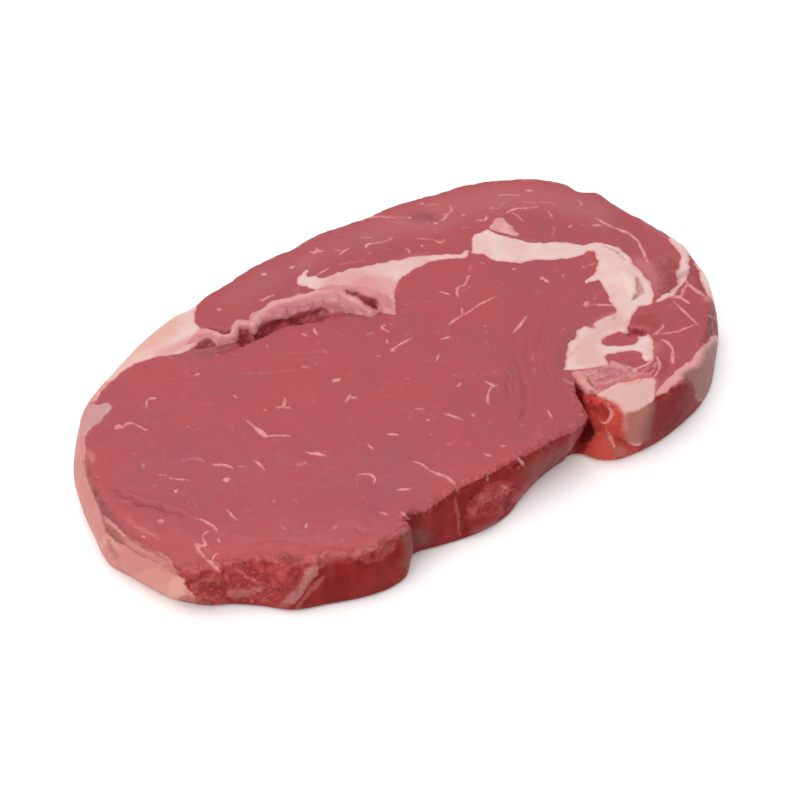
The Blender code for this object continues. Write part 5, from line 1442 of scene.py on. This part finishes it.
# How far noise moves the edge of each mark, and the size of that noise, in millimetres.
WAVERING = {
    "fat": (0.45, 1.4),
    "streak": (0.3, 1.2),
    "faint": (0.3, 1.3),
    "membrane": (0.5, 2.0),
    "torn": (2.2, 3.2),
    "crack": (1.2, 1.1),
    "wall": (0.3, 1.5),
}
# Sizes of the other noises, in millimetres.
TONE_SIZE = 30.0
MOTTLE_SIZE = 6.0
FLECK_SIZE = 3.0
VEIN_SIZE = 17.0
VEIN_BREAK_SIZE = 4.0
BUNDLE_SIZE = 5.0
FAT_TONE_SIZE = 9.0
FIBRE_SIZE = 1.4
CRUMB_SIZE = 1.6
STREAK_BREAK_SIZE = 3.2
GLOSS_SIZE = 2.5
PORE_SIZE = 0.9
DIMPLE_SIZE = 3.0

ROUGHNESS = (0.36, 0.54)
WET_GLOSS = 0.16
FACE_SPECULAR = 0.5
WALL_SPECULAR = 0.12
IOR = 1.4
SCATTER = 0.22
SCATTER_RADIUS = (1.0, 0.35, 0.25)
SCATTER_DEPTH = 1.8 * MM
BUMP_STRENGTH = 0.45
BUMP_DEPTH = 0.5 * MM


class Shader:
    """A few words for wiring shader nodes."""

    def __init__(self, material):
        self.tree = material.node_tree
        self.place = self.tree.nodes.new("ShaderNodeTexCoord").outputs["Object"]

    def link(self, source, target):
        if hasattr(source, "is_output"):
            self.tree.links.new(source, target)
        else:
            target.default_value = source

    def attribute(self, name):
        node = self.tree.nodes.new("ShaderNodeAttribute")
        node.attribute_name = name
        return node.outputs["Fac"]

    def noise(self, size, detail=3.0, roughness=0.55, distortion=0.0, squash=None):
        """Noise of about this size in millimetres."""
        node = self.tree.nodes.new("ShaderNodeTexNoise")
        place = self.place
        if squash:
            mapping = self.tree.nodes.new("ShaderNodeMapping")
            mapping.inputs["Scale"].default_value = squash
            self.tree.links.new(place, mapping.inputs["Vector"])
            place = mapping.outputs["Vector"]
        self.tree.links.new(place, node.inputs["Vector"])
        node.inputs["Scale"].default_value = 1000.0 / size
        node.inputs["Detail"].default_value = detail
        node.inputs["Roughness"].default_value = roughness
        node.inputs["Distortion"].default_value = distortion
        return node.outputs["Fac"]

    def math(self, operation, first, second=0.0, third=None):
        node = self.tree.nodes.new("ShaderNodeMath")
        node.operation = operation
        self.link(first, node.inputs[0])
        self.link(second, node.inputs[1])
        if third is not None:
            self.link(third, node.inputs[2])
        return node.outputs[0]

    def step(self, value, low, high, out_low=0.0, out_high=1.0):
        node = self.tree.nodes.new("ShaderNodeMapRange")
        node.interpolation_type = "SMOOTHSTEP"
        self.link(value, node.inputs["Value"])
        names = ("From Min", "From Max", "To Min", "To Max")
        for name, number in zip(names, (low, high, out_low, out_high)):
            node.inputs[name].default_value = number
        return node.outputs["Result"]

    def mix(self, share, first, second):
        node = self.tree.nodes.new("ShaderNodeMix")
        node.data_type = "RGBA"
        self.link(share, node.inputs["Factor"])
        self.link(first, node.inputs["A"])
        self.link(second, node.inputs["B"])
        return node.outputs["Result"]

    def wavering(self, name, amount, size):
        """A mark's distance with its edge made ragged by noise."""
        noise = self.math("MULTIPLY_ADD", self.noise(size, 3.0, 0.6), 2.0 * amount, -amount)
        return self.math("ADD", self.attribute(name), noise)


def lean_color(s, side):
    """Lean meat: two tones, brighter mottling, pale flecks and veins, and painted shade in deeper red on the
    walls.
    """
    broad = s.step(s.noise(TONE_SIZE, 2.0), 0.35, 0.65)
    mottle = s.step(s.noise(MOTTLE_SIZE, 4.0, 0.6), 0.35, 0.7)
    lean = s.mix(broad, LEAN, LEAN_DULL)
    lean = s.mix(s.math("MULTIPLY", mottle, 0.4), lean, LEAN_BRIGHT)
    flecks = s.step(s.noise(FLECK_SIZE, 2.0, 0.5), 0.66, 0.8)
    lean = s.mix(s.math("MULTIPLY", flecks, 0.16), lean, MARBLING)
    off_vein = s.math("ABSOLUTE", s.math("SUBTRACT", s.noise(VEIN_SIZE, 1.0, 0.5), 0.5))
    vein_breaks = s.step(s.noise(VEIN_BREAK_SIZE, 2.0), 0.54, 0.66, 0.0, 0.2)
    veins = s.math("MULTIPLY", s.step(off_vein, 0.02, 0.003), vein_breaks)
    lean = s.mix(veins, lean, VEIN)
    bundles = s.noise(BUNDLE_SIZE, 2.0, 0.5, squash=BUNDLE_SQUASH)
    shaded_wall_lean = s.mix(s.step(bundles, 0.3, 0.8), SHADED_WALL_LEAN, SHADED_WALL_LEAN_LIGHT)
    return s.mix(s.step(side, 0.45, 0.8), lean, shaded_wall_lean)


def fat_color(s, fat):
    """Fat: pale in broad places, pinker in others and along its edge."""
    tone = s.mix(s.step(s.noise(FAT_TONE_SIZE, 3.0), 0.35, 0.7, 0.0, 0.45), FAT, FAT_PINK)
    return s.mix(s.step(fat, 0.1, 1.1), FAT_PINK, tone)


def membrane_color(s):
    """Membrane: two pinks in fine fibres."""
    fibres = s.step(s.noise(FIBRE_SIZE, 3.0, 0.6, squash=(1.0, 0.4, 1.0)), 0.3, 0.75)
    return s.mix(fibres, MEMBRANE_PINK, FAT_PINK)


def streaked(s, color, streak, faint):
    """The colour with the marbling over it, broken here and there, and the faint streaks."""
    broken = s.step(s.noise(STREAK_BREAK_SIZE, 2.0), 0.3, 0.6, 0.45, 0.95)
    color = s.mix(s.math("MULTIPLY", s.step(streak, -0.32, 0.3), broken), color, MARBLING)
    return s.mix(s.step(faint, -0.4, 0.4, 0.0, 0.4), color, MARBLING)


def crumbled(s, color, shade, crack, ragged, crumbs):
    """The colour with painted shade in its hollows, pits and cracks, and painted highlights on its crumbs."""
    color = s.mix(s.step(shade, 0.0, -0.7, 0.0, 0.4), color, PAINTED_SHADE)
    color = s.mix(s.step(shade, 0.15, 0.7, 0.0, 0.5), color, CRUMB_HIGHLIGHT)
    color = s.mix(s.math("MULTIPLY", ragged, s.step(crumbs, 0.45, 0.33, 0.0, 0.5)), color, PAINTED_SHADE)
    color = s.mix(s.step(crack, -0.4, 0.9, 0.0, 0.65), color, CRACK_SHADE)
    return s.mix(s.math("MULTIPLY", ragged, s.step(crumbs, 0.56, 0.68, 0.0, 0.6)), color, CRUMB_HIGHLIGHT)


def add_bump(s, principled, ragged, crumbs):
    """Pores, dimples and the finest crumbs as bump."""
    fine = s.math("MULTIPLY_ADD", s.noise(PORE_SIZE, 2.0, 0.5), 0.15, s.noise(DIMPLE_SIZE, 3.0, 0.5))
    fine = s.math("MULTIPLY_ADD", s.math("MULTIPLY", ragged, crumbs), 3.0, fine)
    bump = s.tree.nodes.new("ShaderNodeBump")
    bump.inputs["Strength"].default_value = BUMP_STRENGTH
    bump.inputs["Distance"].default_value = BUMP_DEPTH
    s.link(fine, bump.inputs["Height"])
    s.tree.links.new(bump.outputs["Normal"], principled.inputs["Normal"])


def meat_material():
    """The one material of the steak, laid from lean through fat and membrane to streaks and crumbs."""
    material = bpy.data.materials.new("raw_ribeye")
    material.use_nodes = True
    principled = material.node_tree.nodes["Principled BSDF"]
    s = Shader(material)
    wall, shade, wet, ragged = (s.attribute(name) for name in ("wall", "shade", "wet", "ragged"))
    marks = {name: s.wavering(name, *manner) for name, manner in WAVERING.items()}
    crumbs = s.noise(CRUMB_SIZE, 4.0, 0.65)

    color = lean_color(s, marks["wall"])
    color = s.mix(s.math("MULTIPLY", s.step(marks["torn"], -0.3, 1.2), 0.6), color, TORN_RED)
    color = s.mix(s.step(marks["fat"], -0.15, 0.2), color, fat_color(s, marks["fat"]))
    color = s.mix(s.step(marks["membrane"], -0.2, 0.5, 0.0, 0.85), color, membrane_color(s))
    tint = s.tree.nodes.new("ShaderNodeAttribute")
    tint.attribute_name = "tint"
    color = s.mix(tint.outputs["Alpha"], color, tint.outputs["Color"])
    color = streaked(s, color, marks["streak"], marks["faint"])
    color = crumbled(s, color, shade, marks["crack"], ragged, crumbs)
    s.link(color, principled.inputs["Base Color"])

    rough = s.step(s.noise(GLOSS_SIZE, 3.0), 0.3, 0.7, *ROUGHNESS)
    rough = s.math("MULTIPLY_ADD", s.step(wet, -0.2, 0.5), -WET_GLOSS, rough)
    s.link(rough, principled.inputs["Roughness"])
    specular = s.step(wall, 0.2, 1.0, FACE_SPECULAR, WALL_SPECULAR)
    specular = s.math("MULTIPLY", specular, s.step(marks["crack"], -0.4, 0.6, 1.0, 0.2))
    s.link(specular, principled.inputs["Specular IOR Level"])
    principled.inputs["IOR"].default_value = IOR
    principled.inputs["Subsurface Weight"].default_value = SCATTER
    principled.inputs["Subsurface Radius"].default_value = SCATTER_RADIUS
    principled.inputs["Subsurface Scale"].default_value = SCATTER_DEPTH
    add_bump(s, principled, ragged, crumbs)
    return material


# ---- Floor, light and camera ----

# Lengths are in metres here.
FLOOR_HALF = 4.0
FLOOR_COLOR = (0.96, 0.96, 0.96)
FLOOR_ROUGHNESS = 0.9
SKY_STRENGTH = 0.82
# Name, place, size and power of each lamp.
LAMPS = (
    ("overhead", (-0.2, 0.1, 1.1), 1.1, 7.0),
    ("front_left", (-0.9, -0.5, 0.7), 0.7, 3.0),
)
CLIP_START = 0.01


def plain_material(name, color, roughness):
    material = bpy.data.materials.new(name)
    material.use_nodes = True
    principled = material.node_tree.nodes["Principled BSDF"]
    principled.inputs["Base Color"].default_value = (*color, 1.0)
    principled.inputs["Roughness"].default_value = roughness
    principled.inputs["Specular IOR Level"].default_value = 0.0
    return material


def make_floor():
    mesh = bpy.data.meshes.new("floor")
    corners = [(x * FLOOR_HALF, y * FLOOR_HALF, 0) for x, y in ((-1, -1), (1, -1), (1, 1), (-1, 1))]
    mesh.from_pydata(corners, [], [(0, 1, 2, 3)])
    floor = bpy.data.objects.new("floor", mesh)
    mesh.materials.append(plain_material("floor", FLOOR_COLOR, FLOOR_ROUGHNESS))
    bpy.context.scene.collection.objects.link(floor)


def area_light(name, place, size, power):
    light = bpy.data.lights.new(name, "AREA")
    light.shape = "DISK"
    light.size = size
    light.energy = power
    lamp = bpy.data.objects.new(name, light)
    lamp.location = place
    lamp.rotation_euler = (-Vector(place)).to_track_quat("-Z", "Y").to_euler()
    bpy.context.scene.collection.objects.link(lamp)


def make_light():
    world = bpy.data.worlds.new("studio")
    world.use_nodes = True
    background = world.node_tree.nodes["Background"]
    background.inputs["Color"].default_value = (1.0, 1.0, 1.0, 1.0)
    background.inputs["Strength"].default_value = SKY_STRENGTH
    bpy.context.scene.world = world
    for lamp in LAMPS:
        area_light(*lamp)


def make_camera(middle):
    data = bpy.data.cameras.new("camera")
    data.sensor_width = SENSOR
    data.lens = SENSOR / 2 / math.tan(FIELD_OF_VIEW / 2)
    data.clip_start = CLIP_START
    camera = bpy.data.objects.new("camera", data)
    camera.location = Vector((EYE - (*middle, 0.0)) * MM)
    camera.rotation_euler = Vector(-BACKWARD).to_track_quat("-Z", "Y").to_euler()
    bpy.context.scene.collection.objects.link(camera)
    bpy.context.scene.camera = camera


# ---- The scene ----

bpy.context.scene.view_settings.view_transform = "Standard"
steak, MIDDLE = steak_object()
steak.data.materials.append(meat_material())
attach(steak, "root")
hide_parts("steak")
make_camera(MIDDLE)
make_floor()
make_light()
